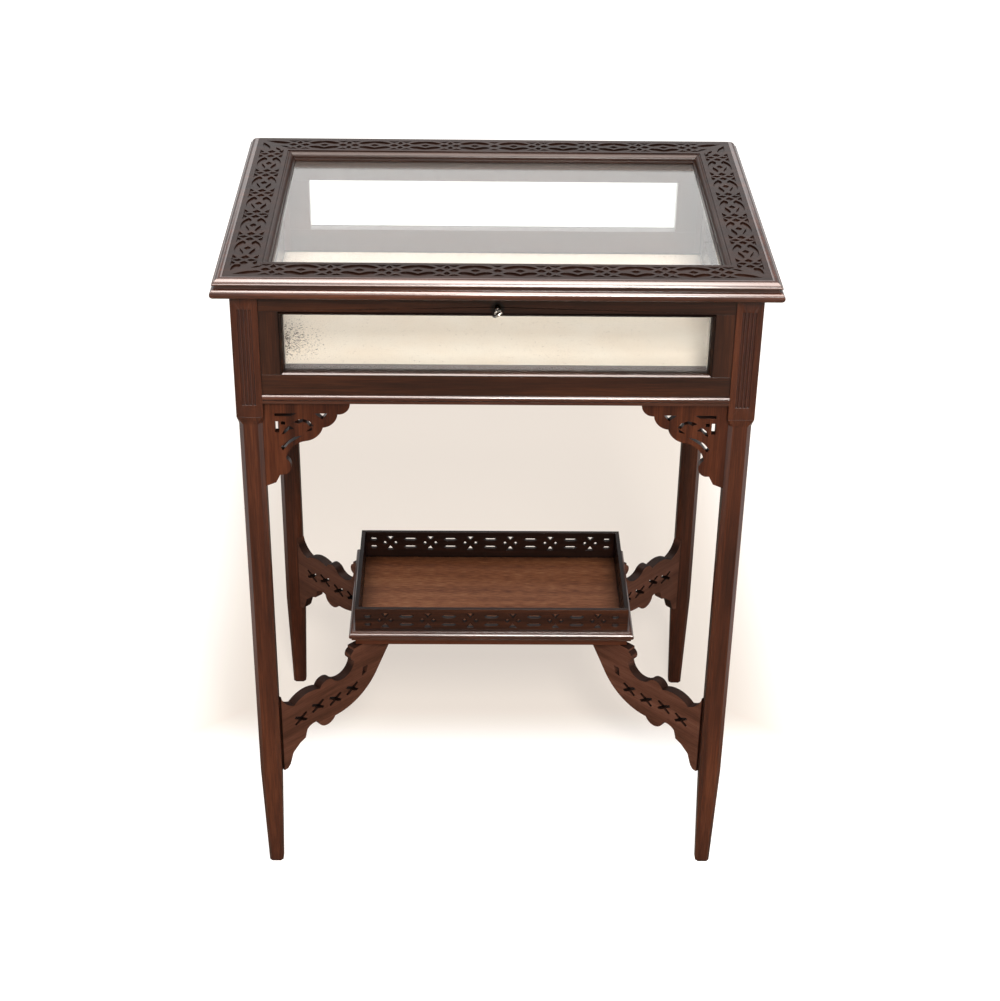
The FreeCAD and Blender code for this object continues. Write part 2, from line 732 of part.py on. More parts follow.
frontAngle = angleOf(cornerRunFront, cornerRunX)
backAngle = angleOf(cornerRunBack, cornerRunX)
for name, x, y, turn in (("front_left", -legX, legFrontY, frontAngle),
                         ("front_right", legX, legFrontY, 180 - frontAngle),
                         ("back_left", -legX, legBackY, 360 - backAngle),
                         ("back_right", legX, legBackY, 180 + backAngle)):
    stretcher = extrusion(f"stretcher_{name}", stretcherSketch, stretcherThickness, (0, 1, 0))
    place(stretcher, x, y, 0, turn)
    finish(stretcher, stretcher.Name)


# ---- tray with pierced gallery --------------------------------------------------------------

trayFloor = trayUnderside + trayBoardThickness
fretZ = trayFloor + galleryHeight - galleryFretDrop

tray = newBody("tray_board")
trayOutline = rectangle(-trayWidth / 2, -trayDepth / 2, trayWidth / 2, trayDepth / 2)
plateFoot = trayFloor - galleryLetIn
pad(tray, bodySketch(tray, "XY_Plane", [trayOutline], trayUnderside), plateFoot - trayUnderside)

# the board's edges are rebated, and the gallery plates stand in the rebate
fieldX = trayWidth / 2 - galleryThickness
fieldY = trayDepth / 2 - galleryThickness
field = rectangle(-fieldX, -fieldY, fieldX, fieldY)
pad(tray, bodySketch(tray, "XY_Plane", [field], plateFoot), galleryLetIn)
place(tray, 0, trayY)
finish(tray, "tray_board")


def crossedMotif(x):
    """Triangle above and below, diamond left and right of a crossing."""
    wide = motifHalf * 0.47
    near = motifHalf * 0.38
    middle = motifHalf * 0.69
    rise = motifHalf * 0.28
    loops = []
    for way in (-1, 1):
        loops.append([line(x - wide, fretZ + way * motifHalf), line(x, fretZ + way * near),
                      line(x + wide, fretZ + way * motifHalf)])
        loops.append([line(x + way * motifHalf, fretZ), line(x + way * middle, fretZ + rise),
                      line(x + way * near, fretZ), line(x + way * middle, fretZ - rise)])
    return loops


def doubleSlots(left, right):
    """Two long slots, one above the other, drawn in to a point at each end."""
    shoulder = (right - left) * 0.22
    rise = motifHalf * 0.2
    loops = []
    for way in (-1, 1):
        z = fretZ + way * motifHalf * 0.58
        loops.append([line(left, z), line(left + shoulder, z - rise),
                      line(right - shoulder, z - rise), line(right, z),
                      line(right - shoulder, z + rise), line(left + shoulder, z + rise)])
    return loops


def pierce(body, loops, count, pitch):
    """Cut the loops through the plate and repeat them along it."""
    sketch = bodySketch(body, "XZ_Plane", loops)
    hole = pocket(body, sketch, galleryThickness * 2, side="Symmetric")
    if count > 1:
        row = body.newObject("PartDesign::LinearPattern", f"{body.Name}_row")
        row.Originals = [hole]
        row.Direction = (sketch, ["H_Axis"])
        row.Occurrences = count
        setSize(row, "Length", pitch * (count - 1))
        body.Tip = row


def makeGallery(name, length, motifs, x, y, turn):
    body = newBody(name)
    plate = rectangle(-length / 2, plateFoot, length / 2, trayFloor + galleryHeight)
    pad(body, bodySketch(body, "XZ_Plane", [plate]), galleryThickness, "Symmetric")
    firstMotif = -motifPitch * (motifs - 1) / 2
    firstSlot = firstMotif + motifPitch / 2 - slotLength / 2
    pierce(body, crossedMotif(firstMotif), motifs, motifPitch)
    pierce(body, doubleSlots(firstSlot, firstSlot + slotLength), motifs - 1, motifPitch)
    lastSlot = motifPitch * motifs / 2 - slotLength / 2
    pierce(body, doubleSlots(lastSlot, lastSlot + slotLength / 2)
           + doubleSlots(-lastSlot - slotLength / 2, -lastSlot), 1, motifPitch)
    place(body, x, y, 0, turn)
    finish(body, name)


galleryY = trayDepth / 2 - galleryThickness / 2
galleryX = trayWidth / 2 - galleryThickness / 2
sideLength = trayDepth - 2 * galleryThickness
makeGallery("gallery_front", trayWidth, 6, 0, trayY - galleryY, 0)
makeGallery("gallery_back", trayWidth, 6, 0, trayY + galleryY, 180)
makeGallery("gallery_left", sideLength, 3, -galleryX, trayY, 90)
makeGallery("gallery_right", sideLength, 3, galleryX, trayY, 270)

moulding = newBody("tray_moulding")
mouldingHigh = trayFloor + trayMouldingTop
mouldingLow = mouldingHigh - trayMouldingHeight
mouldingPath = bodySketch(moulding, "XY_Plane", [trayOutline], mouldingLow)
frontEdge = -trayDepth / 2
ledge = frontEdge - trayMouldingProud * 0.42
mouldingSection = [
    line(frontEdge, mouldingHigh), line(ledge, mouldingHigh),
    line(ledge, mouldingHigh - trayMouldingHeight * 0.1),
    arc(frontEdge - trayMouldingProud, mouldingHigh - trayMouldingHeight * 0.46,
        ledge, mouldingHigh - trayMouldingHeight * 0.82),
    line(frontEdge - trayMouldingProud * 0.6, mouldingHigh - trayMouldingHeight * 0.82),
    line(frontEdge - trayMouldingProud * 0.6, mouldingLow), line(frontEdge, mouldingLow)]
pipe(moulding, bodySketch(moulding, "YZ_Plane", [mouldingSection]), mouldingPath)
place(moulding, 0, trayY)
finish(moulding, "tray_moulding")


# ---- lid ------------------------------------------------------------------------------------

lidHalfX = tableWidth / 2 - lidMouldingWidth
lidFrontY = -(tableDepth / 2 - lidMouldingWidth)
lidBackY = tableDepth / 2
borderInX = lidHalfX - borderWidth
borderFrontY = lidFrontY + borderWidth
borderBackY = lidBackY - borderWidth - borderBackMargin
sightX = borderInX - lidBeadWidth
sightFrontY = borderFrontY + lidBeadWidth
sightBackY = borderBackY - lidBeadWidth
railTop = lidTop - borderThickness
glassLedge = lidUnder + lidLipHeight
beadFoot = glassLedge + lidGlassThickness
beadTop = lidTop - lidBeadSink


def makeLidRail(name, section, direction, plan):
    """A rebated lid rail: its section run full length, then mitred by its plan."""
    height = lidThickness
    run = doc.addObject("Part::Extrusion", f"{name}_run")
    run.Base = section
    run.DirMode = "Custom"
    run.Dir = FreeCAD.Vector(*direction)
    run.Solid = True
    run.Symmetric = True
    setSize(run, "LengthFwd", 2 * tableWidth)
    planSketch = looseSketch(f"{name}_plan", [plan])
    prism = extrusion(f"{name}_prism", planSketch, height * 2, (0, 0, 1))
    place(prism, 0, 0, lidUnder)
    rail = doc.addObject("Part::Common", name)
    rail.Base = run
    rail.Tool = prism
    return rail


def lidSection(name, outer, inner, sight, upright):
    """Section of one lid rail: fret ground on top, lip for the pane inside."""
    loop = [line(outer, lidUnder), line(sight, lidUnder), line(sight, glassLedge),
            line(inner, glassLedge), line(inner, railTop), line(outer, railTop)]
    sketch = looseSketch(name, [loop], True)
    if not upright:
        sketch.Placement = FreeCAD.Placement(
            FreeCAD.Vector(0, 0, 0), FreeCAD.Rotation(FreeCAD.Vector(1, 1, 1), 120))
    return sketch


frontPlan = [line(-lidHalfX, lidFrontY), line(lidHalfX, lidFrontY),
             line(sightX, sightFrontY), line(-sightX, sightFrontY)]
backPlan = [line(lidHalfX, lidBackY), line(-lidHalfX, lidBackY),
            line(-sightX, sightBackY), line(sightX, sightBackY)]
leftPlan = [line(-lidHalfX, lidBackY), line(-lidHalfX, lidFrontY),
            line(-sightX, sightFrontY), line(-sightX, sightBackY)]
rightPlan = [line(lidHalfX, lidFrontY), line(lidHalfX, lidBackY),
             line(sightX, sightBackY), line(sightX, sightFrontY)]

frontSection = lidSection("lid_front_section", lidFrontY, borderFrontY, sightFrontY, False)
backSection = lidSection("lid_back_section", lidBackY, borderBackY, sightBackY, False)
leftSection = lidSection("lid_left_section", -lidHalfX, -borderInX, -sightX, True)
rightSection = lidSection("lid_right_section", lidHalfX, borderInX, sightX, True)

# the front rail takes the keeper plate and the bolt's pocket
keeperY = legFrontY - faceSetback + boltY
slotWidth = boltWidth + 2 * boltClearance
slotDepth = boltThickness + 2 * boltClearance
frontRun = makeLidRail("lid_front_blank", frontSection, (1, 0, 0), frontPlan)
keeperRecess = box("keeper_recess", -keeperWidth / 2, keeperY - keeperDepth / 2, lidUnder,
                   keeperWidth, keeperDepth, keeperThickness)
boltRecess = box("bolt_recess", -slotWidth / 2, keeperY - slotDepth / 2, lidUnder,
                 slotWidth, slotDepth, boltTravel + keeperThickness)
finish(cut("lid_rail_front", frontRun, fuse("lock_recesses", [keeperRecess, boltRecess])),
       "lid_rail_front")

# the back rail takes the hinge leaves
backRun = makeLidRail("lid_back_blank", backSection, (1, 0, 0), backPlan)
leafRecesses = [box(f"leaf_recess_{index}", centre - hingeWidth / 2, leafFrontY, lidUnder,
                    hingeWidth, hingeReach, hingeLeaf)
                for index, centre in enumerate((-hingeSpread, hingeSpread))]
finish(cut("lid_rail_back", backRun, fuse("leaf_recesses", leafRecesses)), "lid_rail_back")
finish(makeLidRail("lid_rail_left", leftSection, (0, 1, 0), leftPlan), "lid_rail_left")
finish(makeLidRail("lid_rail_right", rightSection, (0, 1, 0), rightPlan), "lid_rail_right")

borderPlate = box("border_plate", -lidHalfX, lidFrontY, railTop,
                  2 * lidHalfX, lidBackY - lidFrontY, borderThickness)
borderOpening = box("border_opening", -borderInX, borderFrontY, railTop,
                    2 * borderInX, borderBackY - borderFrontY, borderThickness)
finish(cut("lid_fret_border", borderPlate, borderOpening), "lid_fret_border")

# the moulding runs round the front and both sides and stops square at the back
edge = newBody("lid_edge_moulding")
edgeRoute = [line(-lidHalfX, lidBackY), line(-lidHalfX, lidFrontY),
             line(lidHalfX, lidFrontY), line(lidHalfX, lidBackY)]
edgeSpine = bodySketch(edge, "XY_Plane", [edgeRoute], lidUnder, closed=False)
tip = -(lidHalfX + lidMouldingWidth)
noseBack = -(lidHalfX + lidMouldingWidth * 0.62)
noseTop = lidUnder + lidThickness * 0.44
coveBack = noseBack + lidMouldingWidth * 0.07
footBack = noseBack + lidMouldingWidth * 0.12
noseLow = lidUnder - lidThickness * 0.12
ovoloFoot = lidUnder + lidThickness * 0.75
filletFoot = lidUnder + lidThickness * 0.68
edgeSection = [
    line(-lidHalfX, lidUnder), line(-lidHalfX, lidTop),
    line(-(lidHalfX + lidMouldingWidth * 0.08), lidTop),
    arc(-(lidHalfX + lidMouldingWidth * 0.50), lidUnder + lidThickness * 0.93,
        -(lidHalfX + lidMouldingWidth * 0.72), ovoloFoot),
    line(-(lidHalfX + lidMouldingWidth * 0.80), ovoloFoot),
    line(-(lidHalfX + lidMouldingWidth * 0.80), filletFoot),
    line(coveBack, filletFoot), line(coveBack, noseTop), line(noseBack, noseTop),
    arc(tip, (noseTop + noseLow) / 2, noseBack, noseLow),
    line(footBack, noseLow), line(footBack, lidUnder)]
pipe(edge, bodySketch(edge, "XZ_Plane", [edgeSection], -lidBackY), edgeSpine)
finish(edge, "lid_edge_moulding")

inner = newBody("lid_inner_bead")
innerPath = bodySketch(
    inner, "XY_Plane", [rectangle(-borderInX, borderFrontY, borderInX, borderBackY)], beadFoot)
beadStep = beadFoot + (beadTop - beadFoot) * 0.3
innerSection = [
    line(borderFrontY, beadFoot), line(sightFrontY, beadFoot), line(sightFrontY, beadStep),
    line(sightFrontY - lidBeadWidth * 0.2, beadStep),
    arc(borderFrontY + lidBeadWidth * 0.56, beadStep + (beadTop - beadStep) * 0.76,
        borderFrontY + lidBeadWidth * 0.12, beadTop),
    line(borderFrontY, beadTop)]
pipe(inner, bodySketch(inner, "YZ_Plane", [innerSection]), innerPath)
finish(inner, "lid_inner_bead")

paneHalfX = borderInX - glassClearance
paneFrontY = borderFrontY + glassClearance
paneBackY = borderBackY - glassClearance
finish(box("lid_pane", -paneHalfX, paneFrontY, glassLedge,
           2 * paneHalfX, paneBackY - paneFrontY, lidGlassThickness), "lid_pane")


# ---- hinges ---------------------------------------------------------------------------------

third = hingeWidth / 3
clearOfKnuckle = knuckleRadius * 1.16


def makeLeaf(name, centre, leafZ, knuckles):
    """A flat leaf with its knuckles; knuckles are (start, length) along the hinge."""
    plate = box(f"{name}_plate", centre - hingeWidth / 2, leafFrontY, leafZ,
                hingeWidth, hingeReach - clearOfKnuckle, hingeLeaf)
    solids = [plate]
    for index, (start, length) in enumerate(knuckles):
        solids.append(box(f"{name}_tongue_{index}", centre + start, hingeAxisY - clearOfKnuckle,
                          leafZ, length, clearOfKnuckle, hingeLeaf))
        solids.append(cylinder(f"{name}_knuckle_{index}", knuckleRadius, length,
                               centre + start, hingeAxisY, hingeAxisZ, 90, (0, 1, 0)))
    bore = cylinder(f"{name}_bore", pinRadius + pinClearance, hingeWidth * 1.1,
                    centre - hingeWidth * 0.55, hingeAxisY, hingeAxisZ, 90, (0, 1, 0))
    return cut(name, fuse(f"{name}_blank", solids), bore)


outerKnuckles = [(-hingeWidth / 2, third - knuckleGap / 2),
                 (hingeWidth / 2 - third + knuckleGap / 2, third - knuckleGap / 2)]
middleKnuckle = [(-third / 2 + knuckleGap / 2, third - knuckleGap)]
hingeCentres = (("left", -hingeSpread), ("right", hingeSpread))
finish(group("hinge_case_leaves", [
    makeLeaf(f"case_leaf_{name}", centre, caseTop - hingeLeaf, outerKnuckles)
    for name, centre in hingeCentres]), "hinge_case_leaves")
finish(group("hinge_lid_leaves", [
    makeLeaf(f"lid_leaf_{name}", centre, lidUnder, middleKnuckle)
    for name, centre in hingeCentres]), "hinge_lid_leaves")
finish(group("hinge_pins", [
    cylinder(f"pin_{name}", pinRadius, hingeWidth, centre - hingeWidth / 2,
             hingeAxisY, hingeAxisZ, 90, (0, 1, 0))
    for name, centre in hingeCentres]), "hinge_pins")


# ---- lock, bolt, keeper, escutcheon and key --------------------------------------------------

railFaceY = legFrontY - faceSetback
lockFrontY = railFaceY + lockBackY - lockDepth
cavityRadius = bitReach + keyClearance
cavityLength = bitLength + 2 * keyClearance

lockBlock = box("lock_block", -lockWidth / 2, lockFrontY, caseTop - lockHeight,
                lockWidth, lockDepth, lockHeight)
boltSlot = box("bolt_slot", -slotWidth / 2, keeperY - slotDepth / 2,
               caseTop - lidGap - boltLength - boltClearance,
               slotWidth, slotDepth, boltLength + lidGap + boltClearance)
bitCavity = cylinder("bit_cavity", cavityRadius, cavityLength,
                     0, lockFrontY + lockPlate + cavityLength, keyZ, 90, (1, 0, 0))
shankBore = cylinder("shank_bore", shankRadius + keyClearance, lockPlate + cavityLength,
                     0, lockFrontY + lockPlate + cavityLength, keyZ, 90, (1, 0, 0))
finish(cut("lock_case", lockBlock, fuse("lock_hollows", [boltSlot, bitCavity, shankBore])),
       "lock_case")

finish(box("lock_bolt", -boltWidth / 2, keeperY - boltThickness / 2,
           caseTop - lidGap - boltLength, boltWidth, boltThickness, boltLength), "lock_bolt")

keeperPlate = box("keeper_plate", -keeperWidth / 2, keeperY - keeperDepth / 2, lidUnder,
                  keeperWidth, keeperDepth, keeperThickness)
keeperSlot = box("keeper_slot", -slotWidth / 2, keeperY - slotDepth / 2, lidUnder,
                 slotWidth, slotDepth, keeperThickness)
finish(cut("lock_keeper", keeperPlate, keeperSlot), "lock_keeper")

escutcheon = newBody("keyhole_escutcheon")
escutcheonSketch = bodySketch(
    escutcheon, "XZ_Plane", [keyholeLoop(escutcheonRim), keyholeLoop()])
pad(escutcheon, escutcheonSketch, escutcheonThickness)
place(escutcheon, 0, railFaceY, keyZ)
finish(escutcheon, "keyhole_escutcheon")

# key: shank with a collar, bit inside the lock, flat ring bow; drawn along -Y from the rail
bitStart = lockBackY - lockDepth + lockPlate + keyClearance
bowCentre = keyStandOut - bowRadius
shankEnd = bowCentre - bowInnerRadius - (bowRadius - bowInnerRadius) / 2
shank = cylinder("key_shank", shankRadius, bitStart + bitLength + shankEnd,
                 0, bitStart + bitLength, 0, 90, (1, 0, 0))
collarLength = shankRadius * 0.9
collar = cylinder("key_collar", shankRadius * 1.6, collarLength,
                  0, -(shankEnd - collarLength * 1.6), 0, 90, (1, 0, 0))
bit = box("key_bit", -bitThickness / 2, bitStart, -bitReach, bitThickness, bitLength, bitReach)
bow = newBody("key_bow")
bowSection = rectangle(bowInnerRadius, -bowThickness / 2, bowRadius, bowThickness / 2)
bowSketch = bodySketch(bow, "XZ_Plane", [bowSection])
ring = bow.newObject("PartDesign::Revolution", "key_bow_ring")
ring.Profile = bowSketch
ring.ReferenceAxis = (bowSketch, ["V_Axis"])
ring.Angle = 360
place(bow, 0, -bowCentre, 0, 90, (0, 1, 0))
key = fuse("key", [shank, collar, bit, bow])
place(key, 0, railFaceY, keyZ, bowTilt + 90, (0, 1, 0))
finish(key, "key")


# ---- check and write ------------------------------------------------------------------------

doc.recompute()
failed = [item.Name for item in doc.Objects if "Invalid" in item.State or "Error" in item.State]
if failed:
    raise RuntimeError(f"not built: {failed}")
for item in parts:
    shape = item.Shape
    if shape.isNull() or not shape.isValid() or not shape.Solids:
        raise RuntimeError(f"bad shape: {item.Label}")

os.makedirs("parts", exist_ok=True)
for item in parts:
    item.Shape.exportStep(f"parts/{item.Label}.step")
print(f"{len(parts)} parts written")
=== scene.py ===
import json
import math
import bmesh
import bpy
from mathutils import Matrix, Vector, noise


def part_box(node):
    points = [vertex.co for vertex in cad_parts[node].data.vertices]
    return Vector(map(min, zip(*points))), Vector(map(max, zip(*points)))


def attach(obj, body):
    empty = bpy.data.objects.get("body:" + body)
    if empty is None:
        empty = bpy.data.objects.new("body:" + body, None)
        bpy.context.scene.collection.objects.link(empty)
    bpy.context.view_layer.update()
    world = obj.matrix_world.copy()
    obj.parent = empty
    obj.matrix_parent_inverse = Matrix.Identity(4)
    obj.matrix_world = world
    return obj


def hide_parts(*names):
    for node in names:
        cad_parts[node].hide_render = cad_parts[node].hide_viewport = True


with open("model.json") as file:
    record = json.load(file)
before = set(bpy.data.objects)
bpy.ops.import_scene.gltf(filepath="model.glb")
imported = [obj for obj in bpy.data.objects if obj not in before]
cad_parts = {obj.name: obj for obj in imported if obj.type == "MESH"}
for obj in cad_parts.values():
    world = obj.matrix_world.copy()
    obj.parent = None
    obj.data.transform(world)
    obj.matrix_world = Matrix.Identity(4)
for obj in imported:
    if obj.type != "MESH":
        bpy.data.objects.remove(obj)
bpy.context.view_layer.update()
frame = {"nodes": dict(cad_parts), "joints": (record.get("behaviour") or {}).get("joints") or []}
nodes = frame["nodes"]
mm = 0.001


# camera at standing height, looking down on the lid

view = {
    "place": (-0.0303, -1.9139, 1.5123),
    "tilt": 30.525,  # degrees below level
    "yaw": -1.181,
    "roll": 0.892,
    "lens": 69.46,  # mm
    "sensor": 36,  # mm
    "clipEnd": 60,
}


def addCamera():
    camera = bpy.data.objects.new("camera", bpy.data.cameras.new("camera"))
    camera.data.lens = view["lens"]
    camera.data.sensor_width = view["sensor"]
    camera.data.clip_end = view["clipEnd"]
    turn = (Matrix.Rotation(math.radians(view["yaw"]), 4, "Z")
            @ Matrix.Rotation(math.radians(90 - view["tilt"]), 4, "X")
            @ Matrix.Rotation(math.radians(view["roll"]), 4, "Z"))
    camera.matrix_world = Matrix.Translation(view["place"]) @ turn
    bpy.context.scene.collection.objects.link(camera)
    bpy.context.scene.camera = camera


addCamera()
print("camera placed")


# colours and nodes

def linear(code):
    channels = [int(code[i:i + 2], 16) / 255 for i in (1, 3, 5)]
    return [c / 12.92 if c <= 0.04045 else ((c + 0.055) / 1.055) ** 2.4 for c in channels] + [1]


def addNode(tree, kind, settings=None, inputs=None, stops=()):
    # stops are the places and tones of a colour ramp, a tone being a hex colour or a grey
    node = tree.nodes.new(kind)
    for name, value in (settings or {}).items():
        setattr(node, name, value)
    for name, value in (inputs or {}).items():
        if isinstance(value, bpy.types.NodeSocket):
            tree.links.new(value, node.inputs[name])
        else:
            node.inputs[name].default_value = value
    for _ in stops[2:]:
        node.color_ramp.elements.new(0.5)
    if stops:
        for element, (place, tone) in zip(node.color_ramp.elements, stops):
            element.position = place
            element.color = linear(tone) if isinstance(tone, str) else [tone] * 3 + [1]
    return node


def newMaterial(name):
    material = bpy.data.materials.new(name)
    material.use_nodes = True
    material.node_tree.nodes.clear()
    return material, material.node_tree


# mahogany, sawn and french polished: reddish brown fibres about half a millimetre wide under a
# thin shellac film, darker in corners and recesses, partly old wax gathered there and partly
# painted shade

wood = {
    "fibre": 1.1,  # mm across, twice the real width so that it shows
    "fibreLength": 40,  # mm
    "figure": 14,  # mm across, slow change of tone
    "figureLength": 260,  # mm
    "pore": 0.5,  # mm across
    "poreLength": 9,  # mm
    "toneStops": (0.32, 0.5, 0.68),  # where the dark, middle and light tones stand
    "poreStops": ((0.30, 0.55), (0.38, 1.0)),
    "poreShare": 0.6,
    "waxAndShadeStops": (0.35, 0.95),  # how open a place is: a full corner, and clear of it
    "edgeShadeFacing": (0.15, 0.5),  # how far a face looks up or down: a board's face, a sawn edge
    "spotDark": 0.05,
    "spotCore": 0.6,  # share of the spot's radius that is full dark
    "roughnessSpread": (-0.06, 0.08),
    "relief": 0.12,  # mm deep
    "reliefStrength": 0.12,
    "filmRoughness": 0.12,
    "tones": {  # dark, middle and light
        "leg": ("#2a1108", "#482110", "#66351d"),
        "case": ("#190b06", "#33180c", "#4d2713"),
        "lid": ("#1f110b", "#2f1a12", "#41261a"),
        # the beads' tone is darker than the case's: painted shade in the rebates
        "bead": ("#120a06", "#231209", "#38200f"),
        # the stretchers' tone is a lighter copy of the legs': painted light on faces that the
        # lamps reach less
        "scroll": ("#3e2418", "#593628", "#71493a"),
        # the back and side galleries' tone is near black: painted shade on their inner faces
        "gallery": ("#0d0605", "#20100a", "#351d14"),
        "tray": ("#552c1a", "#855032", "#ab7450"),
    },
}


def mahogany(name, turn, toneName, roughness=0.32, waxAndShade=0.7, gloss=0.3, polish=0.5, reach=4,
             under=None, grimeAndShadow=None, short=1, fibreShare=0.42, sawnAndShaded=None):
    # turn brings the grain on to X, in degrees; wax is how dark a corner gets, old wax with
    # painted shade, and reach how far out of it, in mm; polish is how much shellac; under is a
    # height in metres below which the wood stays at its darkest tone, a painted shade; grime is
    # the middle and the radius in metres of a dark spot, grime with painted shadow; short divides
    # the length of the fibres; sawn is what is left of the tone on faces that look up or down,
    # sawn edges with painted shade
    material, tree = newMaterial(name)
    tones = wood["tones"][toneName]
    place = addNode(tree, "ShaderNodeTexCoord").outputs["Object"]
    along = addNode(tree, "ShaderNodeMapping", {"vector_type": "POINT"}, {
        "Vector": place, "Rotation": [math.radians(a) for a in turn]}).outputs["Vector"]

    def streaks(across, length, detail, roughnessOfNoise=0.5):
        scaled = addNode(tree, "ShaderNodeMapping", inputs={
            "Vector": along,
            "Scale": (1 / (length * mm), 1 / (across * mm), 1 / (across * mm))}).outputs["Vector"]
        return addNode(tree, "ShaderNodeTexNoise", inputs={
            "Vector": scaled, "Scale": 1, "Detail": detail,
            "Roughness": roughnessOfNoise}).outputs["Fac"]

    figure = streaks(wood["figure"], wood["figureLength"], 3)
    fibre = streaks(wood["fibre"], wood["fibreLength"] / short, 3, 0.6)
    pores = streaks(wood["pore"], wood["poreLength"], 1)
    slow = addNode(tree, "ShaderNodeMath", {"operation": "MULTIPLY"}, {
        0: figure, 1: 1 - fibreShare}).outputs[0]
    mixed = addNode(tree, "ShaderNodeMath", {"operation": "MULTIPLY_ADD"}, {
        0: fibre, 1: fibreShare, 2: slow}).outputs[0]
    colour = addNode(tree, "ShaderNodeValToRGB", inputs={"Fac": mixed},
                     stops=list(zip(wood["toneStops"], tones))).outputs["Color"]

    # what darkens the wood: pores; corners, old wax with painted shade; faces looking up or down,
    # sawn edges with painted shade; and a spot, grime with painted shadow
    corner = addNode(tree, "ShaderNodeAmbientOcclusion", {"samples": 6}, {
        "Distance": reach * mm}).outputs["AO"]
    occludedLow, occludedHigh = wood["waxAndShadeStops"]
    veils = [
        (wood["poreShare"], addNode(tree, "ShaderNodeValToRGB", inputs={"Fac": pores},
                                    stops=wood["poreStops"]).outputs["Color"]),
        (1.0, addNode(tree, "ShaderNodeValToRGB", inputs={"Fac": corner},
                      stops=((occludedLow, 1 - waxAndShade), (occludedHigh, 1.0))).outputs["Color"]),
    ]
    # painted shade: faces that look up or down are darker, sawn edges whose tops lie in shade
    # under the case and lid
    if sawnAndShaded:
        normal = addNode(tree, "ShaderNodeNewGeometry").outputs["Normal"]
        upright = addNode(tree, "ShaderNodeSeparateXYZ", inputs={"Vector": normal}).outputs["Z"]
        facing = addNode(tree, "ShaderNodeMath", {"operation": "ABSOLUTE"}, {
            0: upright}).outputs[0]
        faceEnd, edgeStart = wood["edgeShadeFacing"]
        veils.append((1.0, addNode(tree, "ShaderNodeMapRange", inputs={
            "Value": facing, "From Min": faceEnd, "From Max": edgeStart,
            "To Min": 1.0, "To Max": sawnAndShaded}).outputs["Result"]))
    # painted shadow: a dark spot, grime from hands together with the shadow of the key and the
    # lid's nose
    if grimeAndShadow:
        apart = addNode(tree, "ShaderNodeVectorMath", {"operation": "DISTANCE"}, {
            0: place, 1: grimeAndShadow[0]}).outputs["Value"]
        veils.append((1.0, addNode(tree, "ShaderNodeMapRange", {
            "interpolation_type": "SMOOTHSTEP"}, {
                "Value": apart, "From Min": grimeAndShadow[1] * wood["spotCore"], "From Max": grimeAndShadow[1],
                "To Min": wood["spotDark"], "To Max": 1.0}).outputs["Result"]))
    for share, veil in veils:
        colour = addNode(tree, "ShaderNodeMix", {"data_type": "RGBA", "blend_type": "MULTIPLY"}, {
            "Factor": share, "A": colour, "B": veil}).outputs["Result"]
    # painted shade: below the given height the wood is held at its darkest tone, on the tray
    # board's edges and underside
    if under:
        height = addNode(tree, "ShaderNodeSeparateXYZ", inputs={"Vector": place}).outputs["Z"]
        above = addNode(tree, "ShaderNodeMath", {"operation": "GREATER_THAN"}, {
            0: height, 1: under}).outputs[0]
        colour = addNode(tree, "ShaderNodeMix", {"data_type": "RGBA"}, {
            "Factor": above, "A": linear(tones[0]), "B": colour}).outputs["Result"]

    smoother, rougher = wood["roughnessSpread"]
    rough = addNode(tree, "ShaderNodeMapRange", inputs={
        "Value": fibre, "To Min": roughness + smoother,
        "To Max": roughness + rougher}).outputs["Result"]
    grainHeight = addNode(tree, "ShaderNodeMath", {"operation": "ADD"}, {
        0: fibre, 1: pores}).outputs[0]
    bump = addNode(tree, "ShaderNodeBump", inputs={
        "Strength": wood["reliefStrength"], "Distance": wood["relief"] * mm,
        "Height": grainHeight}).outputs["Normal"]
    shader = addNode(tree, "ShaderNodeBsdfPrincipled", inputs={
        "Base Color": colour, "Roughness": rough, "Specular IOR Level": gloss, "Normal": bump,
        "Coat Weight": polish, "Coat Roughness": wood["filmRoughness"]}).outputs["BSDF"]
    addNode(tree, "ShaderNodeOutputMaterial", inputs={"Surface": shader})
    return material


grainX, grainY, grainZ = (0, 0, 0), (0, 0, 90), (0, 90, 0)
keyholeLow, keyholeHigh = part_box("keyhole_escutcheon")
keyholeSpot = (((keyholeLow + keyholeHigh) / 2)[:], 9 * mm)  # darkened by hands and oil, with painted shadow of the key and the lid's nose
trayTop = nodes["tray_board"].bound_box[1][2]
dull = {"roughness": 0.4, "waxAndShade": 0.8, "gloss": 0.15, "polish": 0.1}
